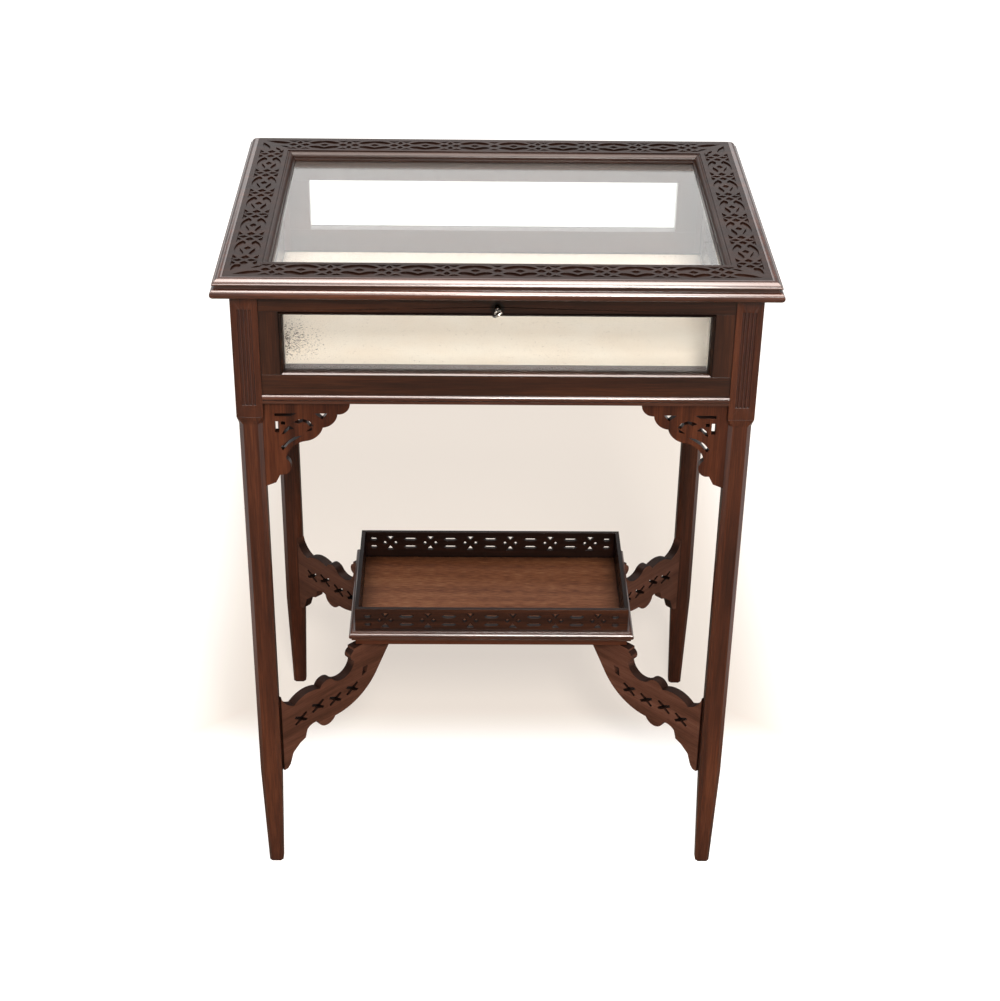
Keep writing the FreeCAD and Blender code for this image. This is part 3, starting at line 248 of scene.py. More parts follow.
# stretchers: a dry finish, their up- and down-facing edges darker, sawn edges with painted shade
sawnShadedDry = {"roughness": 0.45, "gloss": 0.12, "polish": 0.0, "sawnAndShaded": 0.22}
woods = {
    "alongX": mahogany("polished mahogany along X", grainX, "case"),
    "alongY": mahogany("polished mahogany along Y", grainY, "case"),
    "stile": mahogany("stiles along Z", grainZ, "case"),
    "keyRail": mahogany("rail with the keyhole", grainX, "case", grimeAndShadow=keyholeSpot),
    "leg": mahogany("polished mahogany legs", grainZ, "leg", waxAndShade=0.95, reach=3),
    "bracket": mahogany("polished mahogany along Z", grainZ, "leg", polish=0.1, sawnAndShaded=0.3),
    "mould": mahogany("rubbed mouldings", grainX, "leg", roughness=0.3, waxAndShade=0.8, gloss=0.5,
                      polish=1.0),
    "bead": mahogany("dull beads in painted shade", grainX, "bead", roughness=0.5, waxAndShade=0.85, gloss=0.15,
                     polish=0.05, reach=3),
    "litBead": mahogany("beads with a painted highlight", grainX, "case", roughness=0.28, waxAndShade=0.5,
                           polish=0.8, reach=3),
    "fret": mahogany("fretted mahogany", grainX, "lid", waxAndShade=0.5, gloss=0.22, polish=0.1),
    "scroll": mahogany("sawn scrolls", (0, 0, -45), "scroll", **sawnShadedDry),
    "scrollBack": mahogany("sawn scrolls, other way", (0, 0, 45), "scroll", **sawnShadedDry),
    "gallery": mahogany("dull gallery in front", grainX, "case", roughness=0.4, gloss=0.25,
                        polish=0.1, sawnAndShaded=0.5),
    "galleryX": mahogany("gallery in painted shade along X", grainX, "gallery", **dull),
    "galleryY": mahogany("gallery in painted shade along Y", grainY, "gallery", **dull),
    # painted shade: on the tray the corner darkening reaches 26 mm, the galleries' shade on its
    # floor
    "tray": mahogany("rubbed mahogany", grainX, "tray", roughness=0.42, waxAndShade=0.85, gloss=0.2,
                     polish=0.0, reach=26, under=trayTop - 3 * mm, short=3, fibreShare=0.68),
}


# float glass, fire polished: clear, with a soft mirror at the low angle a lid is seen from

glass = {
    "tint": "#fbfcfb",
    "ior": 1.5,
    "dustAndVeil": "#d8d4cf",
    "caseDustVeil": 0.01,  # share of the surface
    "lidDustVeil": 0.05,
}


def clearGlass(name, dustAndVeil):
    material, tree = newMaterial(name)
    paths = addNode(tree, "ShaderNodeLightPath").outputs
    passing = addNode(tree, "ShaderNodeMath", {"operation": "MAXIMUM"}, {
        0: paths["Is Shadow Ray"], 1: paths["Is Diffuse Ray"]}).outputs[0]
    solid = addNode(tree, "ShaderNodeBsdfPrincipled", inputs={
        "Base Color": linear(glass["tint"]), "Roughness": 0.0, "IOR": glass["ior"],
        "Transmission Weight": 1.0}).outputs["BSDF"]
    # painted reflection: a pale matt film over the pane, partly dust, partly the veil that the
    # glass mirrors
    film = addNode(tree, "ShaderNodeBsdfDiffuse", inputs={
        "Color": linear(glass["dustAndVeil"])}).outputs["BSDF"]
    veiled = addNode(tree, "ShaderNodeMixShader", inputs={
        "Fac": dustAndVeil, 1: solid, 2: film}).outputs["Shader"]
    clear = addNode(tree, "ShaderNodeBsdfTransparent", inputs={
        "Color": linear(glass["tint"])}).outputs["BSDF"]
    pane = addNode(tree, "ShaderNodeMixShader", inputs={
        "Fac": passing, 1: veiled, 2: clear}).outputs["Shader"]
    addNode(tree, "ShaderNodeOutputMaterial", inputs={"Surface": pane})
    return material


caseGlass = clearGlass("float glass", glass["caseDustVeil"])
lidGlass = clearGlass("float glass with a film of dust", glass["lidDustVeil"])


# cast brass gone brown and filed steel worn bright, both clouded by handling

metal = {
    "cloud": 4,  # mm
    "cloudStops": (0.35, 0.65),
    "roughnessSpread": 0.12,
}


def agedMetal(name, low, high, roughness):
    material, tree = newMaterial(name)
    place = addNode(tree, "ShaderNodeTexCoord").outputs["Object"]
    cloud = addNode(tree, "ShaderNodeTexNoise", inputs={
        "Vector": place, "Scale": 1 / (metal["cloud"] * mm), "Detail": 4}).outputs["Fac"]
    colour = addNode(tree, "ShaderNodeValToRGB", inputs={"Fac": cloud},
                     stops=list(zip(metal["cloudStops"], (low, high)))).outputs["Color"]
    rough = addNode(tree, "ShaderNodeMapRange", inputs={
        "Value": cloud, "To Min": roughness + metal["roughnessSpread"],
        "To Max": roughness}).outputs["Result"]
    shader = addNode(tree, "ShaderNodeBsdfPrincipled", inputs={
        "Base Color": colour, "Metallic": 1.0, "Roughness": rough}).outputs["BSDF"]
    addNode(tree, "ShaderNodeOutputMaterial", inputs={"Surface": shader})
    return material


brass = agedMetal("cast brass gone brown", "#4a3820", "#8a6e3e", 0.35)
# near black round the keyhole: brass darkened with age, and painted shade of the key and the
# lid's nose
blackenedAndShaded = agedMetal("brass blackened round the keyhole", "#120d08", "#2a1f12", 0.45)
steel = agedMetal("filed steel worn bright", "#77736d", "#dad6ce", 0.16)


# cotton lining cloth, plain weave faded to cream, with brown mould spots on the left

lining = {
    "thread": 0.9,  # mm, coarser than the real 0.4 so that it shows
    "tones": ("#fcecda", "#fff3e4"),
    "cloud": 60,  # mm, slow change of tone
    "spotColour": "#4a3526",
    "spot": 1.9,  # mm across
    "spotsAt": (-0.240, -0.06, 0.615),
    "spotsReach": 0.07,
    "spotsCrowd": 0.25,  # how much thicker they stand in the middle
    "spotStops": ((0.66, 0.0), (0.70, 1.0)),
    "relief": 0.15,  # mm
    "reliefStrength": 0.25,
}


def cottonCloth():
    material, tree = newMaterial("faded cotton")
    place = addNode(tree, "ShaderNodeTexCoord").outputs["Object"]
    cloud = addNode(tree, "ShaderNodeTexNoise", inputs={
        "Vector": place, "Scale": 1 / (lining["cloud"] * mm), "Detail": 3}).outputs["Fac"]
    colour = addNode(tree, "ShaderNodeValToRGB", inputs={"Fac": cloud},
                     stops=list(zip((0.3, 0.7), lining["tones"]))).outputs["Color"]
    specks = addNode(tree, "ShaderNodeTexNoise", inputs={
        "Vector": place, "Scale": 1 / (lining["spot"] * mm), "Detail": 3,
        "Roughness": 0.65}).outputs["Fac"]
    apart = addNode(tree, "ShaderNodeVectorMath", {"operation": "DISTANCE"}, {
        0: place, 1: lining["spotsAt"]}).outputs["Value"]
    near = addNode(tree, "ShaderNodeMapRange", inputs={
        "Value": apart, "From Min": 0.0, "From Max": lining["spotsReach"],
        "To Min": lining["spotsCrowd"], "To Max": 0.0}).outputs["Result"]
    level = addNode(tree, "ShaderNodeMath", {"operation": "ADD"}, {0: specks, 1: near}).outputs[0]
    mask = addNode(tree, "ShaderNodeValToRGB", inputs={"Fac": level},
                   stops=lining["spotStops"]).outputs["Color"]
    spotted = addNode(tree, "ShaderNodeMix", {"data_type": "RGBA"}, {
        "Factor": mask, "A": colour, "B": linear(lining["spotColour"])}).outputs["Result"]
    threads = [addNode(tree, "ShaderNodeTexWave", {
        "wave_type": "BANDS", "bands_direction": way}, {
            "Vector": place, "Scale": 1 / (lining["thread"] * mm) / math.tau}).outputs["Fac"]
               for way in ("X", "Y")]
    weave = addNode(tree, "ShaderNodeMath", {"operation": "ADD"}, {
        0: threads[0], 1: threads[1]}).outputs[0]
    bump = addNode(tree, "ShaderNodeBump", inputs={
        "Strength": lining["reliefStrength"], "Distance": lining["relief"] * mm,
        "Height": weave}).outputs["Normal"]
    shader = addNode(tree, "ShaderNodeBsdfPrincipled", inputs={
        "Base Color": spotted, "Roughness": 0.9, "Specular IOR Level": 0.2,
        "Sheen Weight": 0.15, "Normal": bump}).outputs["BSDF"]
    addNode(tree, "ShaderNodeOutputMaterial", inputs={"Surface": shader})
    return material


cotton = cottonCloth()
print("materials made")


# the carried nodes: finish and eased edges

dressing = {
    "weld": 0.01,  # mm
    "segments": 2,
    "corner": 32,  # degrees, edges sharper than this are eased
}


def dress(piece, material, ease):
    piece.data.materials.clear()
    piece.data.materials.append(material)
    if material in (caseGlass, lidGlass):
        piece.data.shade_flat()
        return
    piece.data.shade_smooth()
    weld = piece.modifiers.new("weld", "WELD")
    weld.merge_threshold = dressing["weld"] * mm
    bevel = piece.modifiers.new("ease", "BEVEL")
    bevel.width = ease * mm
    bevel.segments = dressing["segments"]
    bevel.limit_method = "ANGLE"
    bevel.angle_limit = math.radians(dressing["corner"])
    even = piece.modifiers.new("even", "WEIGHTED_NORMAL")  # keeps the flats flat
    even.mode = "FACE_AREA"
    even.keep_sharp = False


finishes = (
    # how the node's name starts, its finish, and mm that its edges are eased; the first that fits
    ("pane_", caseGlass, 0),
    ("lid_pane", lidGlass, 0),
    (("hinge_", "lock_keeper"), brass, 0.15),
    (("lock_case", "keyhole_escutcheon"), blackenedAndShaded, 0.15),
    (("key", "lock_bolt"), steel, 0.3),
    ("leg_", woods["leg"], 0.5),
    ("bracket_", woods["bracket"], 0.5),
    (("stretcher_front_left", "stretcher_back_right"), woods["scroll"], 0.4),
    ("stretcher_", woods["scrollBack"], 0.4),
    ("tray_board", woods["tray"], 0.4),
    ("gallery_front", woods["gallery"], 0.4),
    ("gallery_back", woods["galleryX"], 0.3),
    ("gallery_", woods["galleryY"], 0.3),
    (("lid_edge_moulding", "tray_moulding", "base_beads"), woods["mould"], 0.3),
    (("lid_rail", "lid_inner_bead"), woods["fret"], 0.2),
    ("case_stiles", woods["stile"], 0.4),
    ("top_rail_front", woods["keyRail"], 0.4),
    (("top_rail_left", "top_rail_right", "bottom_rail_left", "bottom_rail_right"),
     woods["alongY"], 0.4),
    ("", woods["alongX"], 0.4),
)

for name, piece in nodes.items():
    finish = next(row for row in finishes if name.startswith(row[0]))
    dress(piece, *finish[1:])
print("nodes dressed")


def finishPiece(name, mesh, material, body, smooth=False):
    work = bmesh.new()
    work.from_mesh(mesh)
    bmesh.ops.remove_doubles(work, verts=work.verts, dist=0.005 * mm)
    bmesh.ops.recalc_face_normals(work, faces=work.faces)
    work.to_mesh(mesh)
    work.free()
    mesh.materials.clear()
    mesh.materials.append(material)
    piece = bpy.data.objects.new(name, mesh)
    bpy.context.scene.collection.objects.link(piece)
    if smooth:
        mesh.shade_smooth()
    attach(piece, body)
    return piece


# the lid's blind fret: a pierced plate glued on the rails, one pattern bent round all four sides

fret = {
    "halfBand": 12.9,  # mm, middle of the border to the edge of the piercings
    "halfKnot": 10.4,
    "halfDiamond": 4.6,
    "frontKnots": (-220.5, -164.5, -106.6, -49.8, 0, 49.8, 106.6, 164.5, 220.5),
    "sideKnots": (-147.8, -88.3, -28.6, 30.7, 89.8, 148.6),
    "leafTips": {"long": 38, "front": 25, "back": 37},  # mm from the last knot to the leaf's tip
    "thickness": 1.5,
    "ground": 0.5,  # backing under the piercings
    "round": 0.25,
    "curveSteps": 3,
}


def column():
    # one column of the lattice: a diamond, and a triangle over and under it
    edge = fret["halfBand"]
    return [[(-5.0, 0), (0, 4.6), (5.0, 0), (0, -4.6)],
            [(-6.4, edge), (0, 8.2), (6.0, edge)],
            [(-6.4, -edge), (6.0, -edge), (0, -8.2)]]


def knot():
    # two columns back to back, and a leaf over and under their meeting
    voids = []
    for side in (-1, 1):
        for loop in column():
            voids.append([(side * (6.9 - s), t) for s, t in loop])
    for side in (-1, 1):
        voids.append([(0, side * 2.4), (3.3, side * 6.5), (0, side * 12.2), (-3.3, side * 6.5)])
    return voids


def crescents(start, end):
    # long void each side of a small diamond; True marks a smooth point
    middle = (start + end) / 2
    voids = [[(middle - 5.2, 0), (middle, 3.8), (middle + 5.2, 0), (middle, -3.8)]]
    for side in (-1, 1):
        voids.append([
            (start, side * 6.4), (start + 6.5, side * 10.6, True), (middle, side * 13.0, True),
            (end - 6.5, side * 10.6, True), (end, side * 6.4), (end - 5.2, side * 3.0, True),
            (end - 10, side * 3.7, True), (middle, side * 7.8), (start + 10, side * 3.7, True),
            (start + 5.2, side * 3.0, True)])
    return voids


def cornerLeaves(reach, tip):
    # from the last knot towards the mitre; t is negative on the outer side
    outer = [(10, -5.6), (reach * 0.5, -2.8, True), (reach * 0.82, -4.0, True), (tip, -11.6),
             (reach * 0.78, -11.0, True), (reach * 0.48, -8.0, True)]
    if reach < 25:
        return [outer]
    return [outer, [(10.4, 9.8), (15.5, 8.4, True), (21.5, 3.6), (14.5, 5.0, True)]]


def addSpline(curve, points):
    spline = curve.splines.new("BEZIER")
    spline.bezier_points.add(len(points) - 1)
    spline.use_cyclic_u = True
    spline.resolution_u = fret["curveSteps"]
    for bezier, (x, y, smooth) in zip(spline.bezier_points, points):
        bezier.co = (x * mm, y * mm, 0)
        handle = "AUTO" if smooth else "VECTOR"
        bezier.handle_left_type = handle
        bezier.handle_right_type = handle


def addVoids(curve, voids, toTable):
    for loop in voids:
        addSpline(curve, [toTable(p[0], p[1]) + (len(p) > 2,) for p in loop])


def flatCurve(name, thickness, rounding):
    curve = bpy.data.curves.new(name, "CURVE")
    curve.dimensions = "2D"
    curve.fill_mode = "BOTH"
    curve.extrude = (thickness / 2 - rounding) * mm
    curve.bevel_depth = rounding * mm
    curve.bevel_resolution = 1
    curve.offset = -rounding * mm
    return curve


def curveMesh(curve):
    flat = bpy.data.objects.new("flat", curve)
    bpy.context.scene.collection.objects.link(flat)
    shape = flat.evaluated_get(bpy.context.evaluated_depsgraph_get())
    mesh = bpy.data.meshes.new_from_object(shape)
    bpy.data.objects.remove(flat)
    return mesh


def lidFret():
    low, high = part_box("lid_fret_border")
    beadLow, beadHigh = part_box("lid_inner_bead")
    left, right, front, back = (v / mm for v in (low.x, high.x, low.y, high.y))
    inLeft, inRight, inFront, inBack = (
        v / mm for v in (beadLow.x, beadHigh.x, beadLow.y, beadHigh.y))
    ground = flatCurve("fretGround", fret["ground"], 0)
    curve = flatCurve("lidFret", fret["thickness"], fret["round"])
    for x0, x1, y0, y1 in ((left, right, front, back), (inLeft, inRight, inFront, inBack)):
        ring = [(x0, y0, 0), (x1, y0, 0), (x1, y1, 0), (x0, y1, 0)]
        addSpline(ground, ring)
        addSpline(curve, ring)
    midX = (right - inRight) / 2 + inRight
    frontY = (front + inFront) / 2
    backY = inBack + (inFront - front) / 2
    halfKnot, halfDiamond, tips = fret["halfKnot"], fret["halfDiamond"], fret["leafTips"]
    for y, way in ((frontY, 1), (backY, -1)):
        knots = fret["frontKnots"]
        for x in knots:
            addVoids(curve, column() if x == 0 else knot(), lambda s, t: (x + s, y + t))
        for a, b in zip(knots, knots[1:]):
            start = a + (halfDiamond if a == 0 else halfKnot)
            end = b - (halfDiamond if b == 0 else halfKnot)
            addVoids(curve, crescents(start, end), lambda s, t: (s, y + t))
        for side in (-1, 1):
            addVoids(curve, cornerLeaves(midX - knots[-1], tips["long"]),
                     lambda s, t: (side * (knots[-1] + s), y + way * t))
    for side in (-1, 1):
        knots = fret["sideKnots"]
        for y in knots:
            addVoids(curve, knot(), lambda s, t: (side * midX + t, y + s))
        for a, b in zip(knots, knots[1:]):
            addVoids(curve, crescents(a + halfKnot, b - halfKnot),
                     lambda s, t: (side * midX + t, s))
        addVoids(curve, cornerLeaves(knots[0] - frontY, tips["front"]),
                 lambda s, t: (side * (midX - t), knots[0] - s))
        addVoids(curve, cornerLeaves(backY - knots[-1], tips["back"]),
                 lambda s, t: (side * (midX - t), knots[-1] + s))
    work = bmesh.new()
    for layer, z in ((ground, low.z + fret["ground"] * mm / 2),
                     (curve, high.z - fret["thickness"] * mm / 2)):
        mesh = curveMesh(layer)
        mesh.transform(Matrix.Translation((0, 0, z)))
        work.from_mesh(mesh)
    mesh = bpy.data.meshes.new("lidFret")
    work.to_mesh(mesh)
    work.free()
    return finishPiece("lid_fret", mesh, woods["fret"], "lid")


fretPiece = lidFret()
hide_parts("lid_fret_border")
print("lid fret:", len(fretPiece.data.polygons), "faces")


# the lining: a thin padded board covered in cloth, its edges rolled over and a little uneven

pad = {
    "cells": (96, 68),
    "roll": 4.0,  # mm, how far in the edge starts to fall
    "fall": 1.6,  # mm, how far down it goes
    "wave": 0.5,  # mm, unevenness of the top
    "wavesPerMetre": 14,
    "seed": 3.1,
}


def liningPad():
    low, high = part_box("lining_pad")
    size = high - low
    work = bmesh.new()
    bmesh.ops.create_grid(work, x_segments=pad["cells"][0], y_segments=pad["cells"][1], size=0.5)
    bmesh.ops.scale(work, vec=(size.x, size.y, 1), verts=work.verts)
    bmesh.ops.translate(work, vec=((low.x + high.x) / 2, (low.y + high.y) / 2, high.z),
                        verts=work.verts)
    border = [edge for edge in work.edges if edge.is_boundary]
    made = bmesh.ops.extrude_edge_only(work, edges=border)
    skirt = [v for v in made["geom"] if isinstance(v, bmesh.types.BMVert)]
    bmesh.ops.translate(work, vec=(0, 0, -size.z), verts=skirt)
    bmesh.ops.holes_fill(work, edges=[edge for edge in work.edges if edge.is_boundary])
    for vert in work.verts:
        if vert.co.z > low.z + size.z / 2:
            inset = min(vert.co.x - low.x, high.x - vert.co.x,
                        vert.co.y - low.y, high.y - vert.co.y) / mm
            fall = max(0, 1 - inset / pad["roll"]) ** 2 * pad["fall"]
            ripple = noise.noise(Vector((vert.co.x * pad["wavesPerMetre"],
                                         vert.co.y * pad["wavesPerMetre"], pad["seed"])))
            vert.co.z -= (fall + pad["wave"] * (0.5 + 0.5 * ripple)) * mm
    mesh = bpy.data.meshes.new("lining")
    work.to_mesh(mesh)
    work.free()
    return finishPiece("lining_cloth", mesh, cotton, "case", smooth=True)


liningPiece = liningPad()
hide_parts("lining_pad")
print("lining laid")


# glazing beads: mitred frames with a quirk, a round bead and a splayed sill down to the glass

glazing = {
    "profile": (  # mm in from the rebate, and mm behind the crown
        (0.3, 1.6), (0.4, 2.1), (0.55, 2.1), (0.65, 1.1), (0.85, 0.4), (1.1, 0.05), (1.25, 0.0),
        (1.4, 0.15), (2.4, 1.35), (2.65, 1.8), (2.8, 2.3), (3.2, 2.4), (3.3, 2.9), (4.45, 5.3)),
    "flush": 1.5,  # mm, rail face behind the crown
    "bright": 3.1,  # mm of the bottom bead in a lighter, glossier copy of the wood, a painted highlight
    "thick": 5.5,  # mm
    "sharp": 50,  # degrees
    "turns": {"front": 0, "right": 90, "back": 180, "left": 270},
}


def glazingBead(side, turn):
    node = "glazing_bead_" + side
    low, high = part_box(node)
    size = high - low
    wide, deep = (size.x, size.y) if turn % 180 == 0 else (size.y, size.x)
    work = bmesh.new()
    bmesh.ops.create_grid(work, x_segments=1, y_segments=1, size=0.5)
    bmesh.ops.scale(work, vec=(wide, size.z, 1), verts=work.verts)
    bmesh.ops.translate(work, vec=(0, 0, -glazing["flush"] * mm), verts=work.verts)
    middle = list(work.faces)
    insetWas, depthWas = 0, glazing["flush"]
    for inset, depth in glazing["profile"]:
        bmesh.ops.inset_region(work, faces=middle, thickness=(inset - insetWas) * mm,
                               depth=(depthWas - depth) * mm, use_boundary=True,
                               use_even_offset=True)
        insetWas, depthWas = inset, depth
    bmesh.ops.delete(work, geom=middle, context="FACES_ONLY")

    # the inner and outer edges go straight back, and meet behind
    inner = [edge for edge in work.edges if edge.is_boundary
             and edge.verts[0].co.z < -glazing["flush"] * 1.5 * mm]
    outer = [edge for edge in work.edges if edge.is_boundary and edge not in inner]
    for edges in (inner, outer):
        made = bmesh.ops.extrude_edge_only(work, edges=edges)
        for vert in made["geom"]:
            if isinstance(vert, bmesh.types.BMVert):
                vert.co.z = -glazing["thick"] * mm
    bmesh.ops.bridge_loops(work, edges=[edge for edge in work.edges if edge.is_boundary])
    facing = Matrix.Rotation(math.radians(turn), 4, "Z")
    out = facing @ Vector((0, -1, 0))
    crown = (low + high) / 2 + out * deep / 2
    stand = Matrix.Translation(crown) @ facing @ Matrix.Rotation(math.radians(90), 4, "X")
    bmesh.ops.transform(work, matrix=stand, verts=work.verts)
    mesh = bpy.data.meshes.new("bead")
    work.to_mesh(mesh)
    work.free()
    piece = finishPiece("bead_" + side, mesh, woods["bead"], "case", smooth=True)
    mesh.set_sharp_from_angle(angle=math.radians(glazing["sharp"]))
    # painted highlight: faces low on the bottom bead take a lighter, glossier copy of the wood;
    # the rest keep the darker bead tone, painted shade
    mesh.materials.append(woods["litBead"])
    for face in mesh.polygons:
        behind = (crown - face.center).dot(out)
        if face.center.z < low.z + glazing["bright"] * mm and behind < glazing["bright"] * mm:
            face.material_index = 1
    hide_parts(node)


for side, turn in glazing["turns"].items():
    glazingBead(side, turn)
print("glazing beads mitred")


# key: turned shank with a collar and a ring bow of round section, filed and worn bright

keyShape = {
    "bow": 6.2,  # mm, radius outside
    "wire": 1.15,  # mm, half the ring's thickness
    "tilt": 28,  # degrees, the bow's right side up
    "reach": 21,  # mm, bow tip in front of the rail
    "turned": (  # mm in front of the rail, and radius: shank, collar and neck
        (-1.0, 1.6), (6.0, 1.6), (6.3, 2.1), (6.8, 2.4), (7.4, 2.4), (7.9, 2.0), (8.2, 1.6),
        (9.6, 1.3)),
    "bit": (1.4, 3.0, 5.6),  # mm thick, along the shank, and out from its middle
    "bitTurn": 118,  # degrees
    "wireSides": 12,
    "bowSteps": 36,
    "shankSteps": 20,
    "sharp": 50,  # degrees
}


def bowKey():
    low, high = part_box("key")
    joint = next(j for j in frame["joints"] if j["name"] == "key_turn")
    axis = joint["pos_m"][2]
    railY = low.y + keyShape["reach"] * mm
    work = bmesh.new()

    # the ring, spun from a circle
    wire = keyShape["wire"] * mm
    made = bmesh.ops.create_circle(work, segments=keyShape["wireSides"], radius=wire)
    bmesh.ops.rotate(work, verts=made["verts"], matrix=Matrix.Rotation(math.radians(90), 3, "X"))
    bmesh.ops.translate(work, verts=made["verts"], vec=(keyShape["bow"] * mm - wire, 0, 0))
    bmesh.ops.spin(work, geom=list(work.verts) + list(work.edges), cent=(0, 0, 0), axis=(0, 0, 1),
                   angle=math.radians(360), steps=keyShape["bowSteps"], use_merge=True)
    bmesh.ops.rotate(work, verts=work.verts,
                     matrix=Matrix.Rotation(math.radians(-keyShape["tilt"]), 3, "Y"))
    bmesh.ops.translate(work, verts=work.verts, vec=(0, low.y + keyShape["bow"] * mm, axis))

    # the shank, turned from its outline
    turned = keyShape["turned"]
    line = [(high.y, 0), (high.y, turned[0][1])] + [(railY - out * mm, r) for out, r in turned]
    line.append((line[-1][0], 0))
    verts = [work.verts.new((r * mm, y, axis)) for y, r in line]
    edges = [work.edges.new(pair) for pair in zip(verts, verts[1:])]
    bmesh.ops.spin(work, geom=verts + edges, cent=(0, 0, axis), axis=(0, 1, 0),
                   angle=math.radians(360), steps=keyShape["shankSteps"], use_merge=True)

    # the bit, standing in the lock
    thick, along, reach = (v * mm for v in keyShape["bit"])
    made = bmesh.ops.create_cube(work, size=1)
    bmesh.ops.scale(work, verts=made["verts"], vec=(thick, along, reach))
    bmesh.ops.translate(work, verts=made["verts"], vec=(0, 0, -reach / 2))
    bmesh.ops.rotate(work, verts=made["verts"],
                     matrix=Matrix.Rotation(math.radians(keyShape["bitTurn"]), 3, "Y"))
    bmesh.ops.translate(work, verts=made["verts"], vec=(0, high.y - along / 2, axis))
    mesh = bpy.data.meshes.new("key")
    work.to_mesh(mesh)
    work.free()
    piece = finishPiece("bow_key", mesh, steel, "key", smooth=True)
    mesh.set_sharp_from_angle(angle=math.radians(keyShape["sharp"]))
    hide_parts("key")


bowKey()
print("key turned")


# studio: pale painted floor, a soft lamp in front, one above, a bank behind, and a wide card
# overhead that shows only in polished surfaces

studio = {
    "aimHeight": 0.6,
    "world": 0.3,
    "lamps": (
        # place, size in metres, watts, colour, whether it lights matt surfaces
        ((0.25, -2.6, 2.5), (0.6, 0.6), 76, "#fffaf4", True),
        ((0.0, -0.9, 3.2), (1.2, 1.8), 50, "#fffaf5", True),
        ((0.0, 3.0, 1.87), (3.4, 0.75), 8, "#ffffff", True),
        ((0.0, 0.0, 3.4), (2.6, 3.8), 250, "#fff0e8", False),
    ),
    "floorHalf": 7,  # metres
    "paint": "#d8d0c6",  # what lights the table from below
    "paintSeen": "#aaa39a",  # takes the shadows, under the glow
    "paintMirrored": "#7a7066",  # what polished wood shows
    "glow": "#fff4ea",
    "glowLow": 0.58,
    "glowAside": (0.30, 0.46),  # metres from the middle, where the floor turns white
    "glowBack": (1.15, 1.6),
    "glowFront": (0.125, 0.0),
    "mirrorAside": (0.45, 0.8),  # metres, where polished wood shows a brighter floor
    "mirrorGlow": 0.7,
}


def addWorld():
    world = bpy.data.worlds.new("studio")
    world.use_nodes = True
    tree = world.node_tree
    tree.nodes.clear()
    paths = addNode(tree, "ShaderNodeLightPath").outputs
    seen = addNode(tree, "ShaderNodeMath", {"operation": "MAXIMUM"}, {
        0: paths["Is Camera Ray"], 1: paths["Is Transmission Ray"]}).outputs[0]
    strength = addNode(tree, "ShaderNodeMapRange", inputs={
        "Value": seen, "To Min": studio["world"], "To Max": 1.0}).outputs["Result"]
    background = addNode(tree, "ShaderNodeBackground", inputs={
        "Color": linear("#ffffff"), "Strength": strength}).outputs["Background"]
    addNode(tree, "ShaderNodeOutputWorld", inputs={"Surface": background})
    bpy.context.scene.world = world


def addLamps():
    # the lid's glass and fret don't see the card, so that they stay clear from above
    unlit = bpy.data.collections.new("unlit")
    for piece in (nodes["lid_pane"], fretPiece):
        unlit.objects.link(piece)
    for member in unlit.collection_objects:
        member.light_linking.link_state = "EXCLUDE"
    for index, (place, size, watts, colour, lightsMatt) in enumerate(studio["lamps"]):
        lamp = bpy.data.lights.new(f"softbox{index}", "AREA")
        lamp.shape = "RECTANGLE"
        lamp.size, lamp.size_y = size
        lamp.energy = watts
        lamp.color = linear(colour)[:3]
        item = bpy.data.objects.new(f"softbox{index}", lamp)
        aim = Vector((0, 0, studio["aimHeight"])) - Vector(place)
        item.matrix_world = (Matrix.Translation(place)
                             @ aim.to_track_quat("-Z", "Y").to_matrix().to_4x4())
        item.visible_camera = False
        item.visible_diffuse = lightsMatt
        bpy.context.scene.collection.objects.link(item)
        if not lightsMatt:
            item.light_linking.receiver_collection = unlit


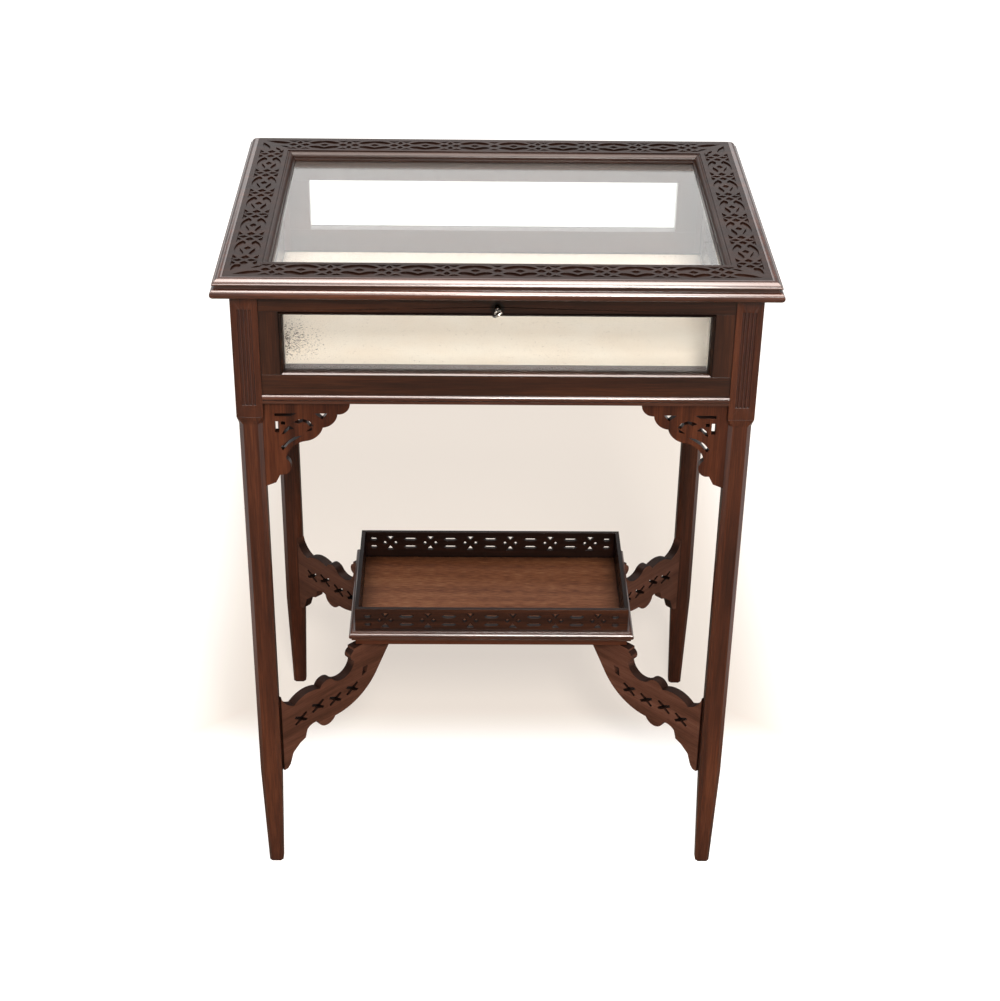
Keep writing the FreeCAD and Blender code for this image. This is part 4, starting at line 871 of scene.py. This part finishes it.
def paintedFloor():
    # dull paint that glows white away from the table; nearer, in a zone under and behind it, the
    # glow is dimmer and warmer, a painted shade; polished wood sees the floor darker, and
    # brighter far aside, a painted reflection
    material, tree = newMaterial("painted floor")
    paths = addNode(tree, "ShaderNodeLightPath").outputs
    seen = addNode(tree, "ShaderNodeMath", {"operation": "MAXIMUM"}, {
        0: paths["Is Camera Ray"], 1: paths["Is Transmission Ray"]}).outputs[0]
    place = addNode(tree, "ShaderNodeTexCoord").outputs["Object"]
    place = addNode(tree, "ShaderNodeSeparateXYZ", inputs={"Vector": place}).outputs
    aside = addNode(tree, "ShaderNodeMath", {"operation": "ABSOLUTE"}, {0: place["X"]}).outputs[0]
    away = 0.0
    for distance, (start, end) in ((aside, studio["glowAside"]),
                                   (place["Y"], studio["glowBack"]),
                                   (place["Y"], studio["glowFront"])):
        edge = addNode(tree, "ShaderNodeMapRange", {"interpolation_type": "SMOOTHSTEP"}, {
            "Value": distance, "From Min": start, "From Max": end}).outputs["Result"]
        away = addNode(tree, "ShaderNodeMath", {"operation": "MAXIMUM"}, {
            0: away, 1: edge}).outputs[0]
    glowColour = addNode(tree, "ShaderNodeMix", {"data_type": "RGBA"}, {
        "Factor": away, "A": linear(studio["glow"]), "B": linear("#ffffff")}).outputs["Result"]
    glowStrength = addNode(tree, "ShaderNodeMapRange", inputs={
        "Value": away, "To Min": studio["glowLow"], "To Max": 1.0}).outputs["Result"]
    glow = addNode(tree, "ShaderNodeEmission", inputs={
        "Color": glowColour, "Strength": glowStrength}).outputs["Emission"]
    farAside = addNode(tree, "ShaderNodeMapRange", {"interpolation_type": "SMOOTHSTEP"}, {
        "Value": aside, "From Min": studio["mirrorAside"][0],
        "From Max": studio["mirrorAside"][1],
        "To Min": 0.0, "To Max": studio["mirrorGlow"]}).outputs["Result"]
    mirrorGlow = addNode(tree, "ShaderNodeEmission", inputs={
        "Color": linear("#ffffff"), "Strength": farAside}).outputs["Emission"]
    plain, bySight, byMirror = (
        addNode(tree, "ShaderNodeBsdfDiffuse", inputs={
            "Color": linear(studio[paint])}).outputs["BSDF"]
        for paint in ("paint", "paintSeen", "paintMirrored"))
    bySight = addNode(tree, "ShaderNodeAddShader", inputs={
        0: bySight, 1: glow}).outputs["Shader"]
    byMirror = addNode(tree, "ShaderNodeAddShader", inputs={
        0: byMirror, 1: mirrorGlow}).outputs["Shader"]
    unseen = addNode(tree, "ShaderNodeMixShader", inputs={
        "Fac": paths["Is Glossy Ray"], 1: plain, 2: byMirror}).outputs["Shader"]
    floor = addNode(tree, "ShaderNodeMixShader", inputs={
        "Fac": seen, 1: unseen, 2: bySight}).outputs["Shader"]
    addNode(tree, "ShaderNodeOutputMaterial", inputs={"Surface": floor})
    return material


def addFloor():
    work = bmesh.new()
    bmesh.ops.create_grid(work, x_segments=1, y_segments=1, size=studio["floorHalf"])
    mesh = bpy.data.meshes.new("floor")
    work.to_mesh(mesh)
    work.free()
    mesh.materials.append(paintedFloor())
    floor = bpy.data.objects.new("floor", mesh)
    bpy.context.scene.collection.objects.link(floor)


addWorld()
addLamps()
addFloor()
bpy.context.scene.view_settings.view_transform = "Standard"
print("studio lit")
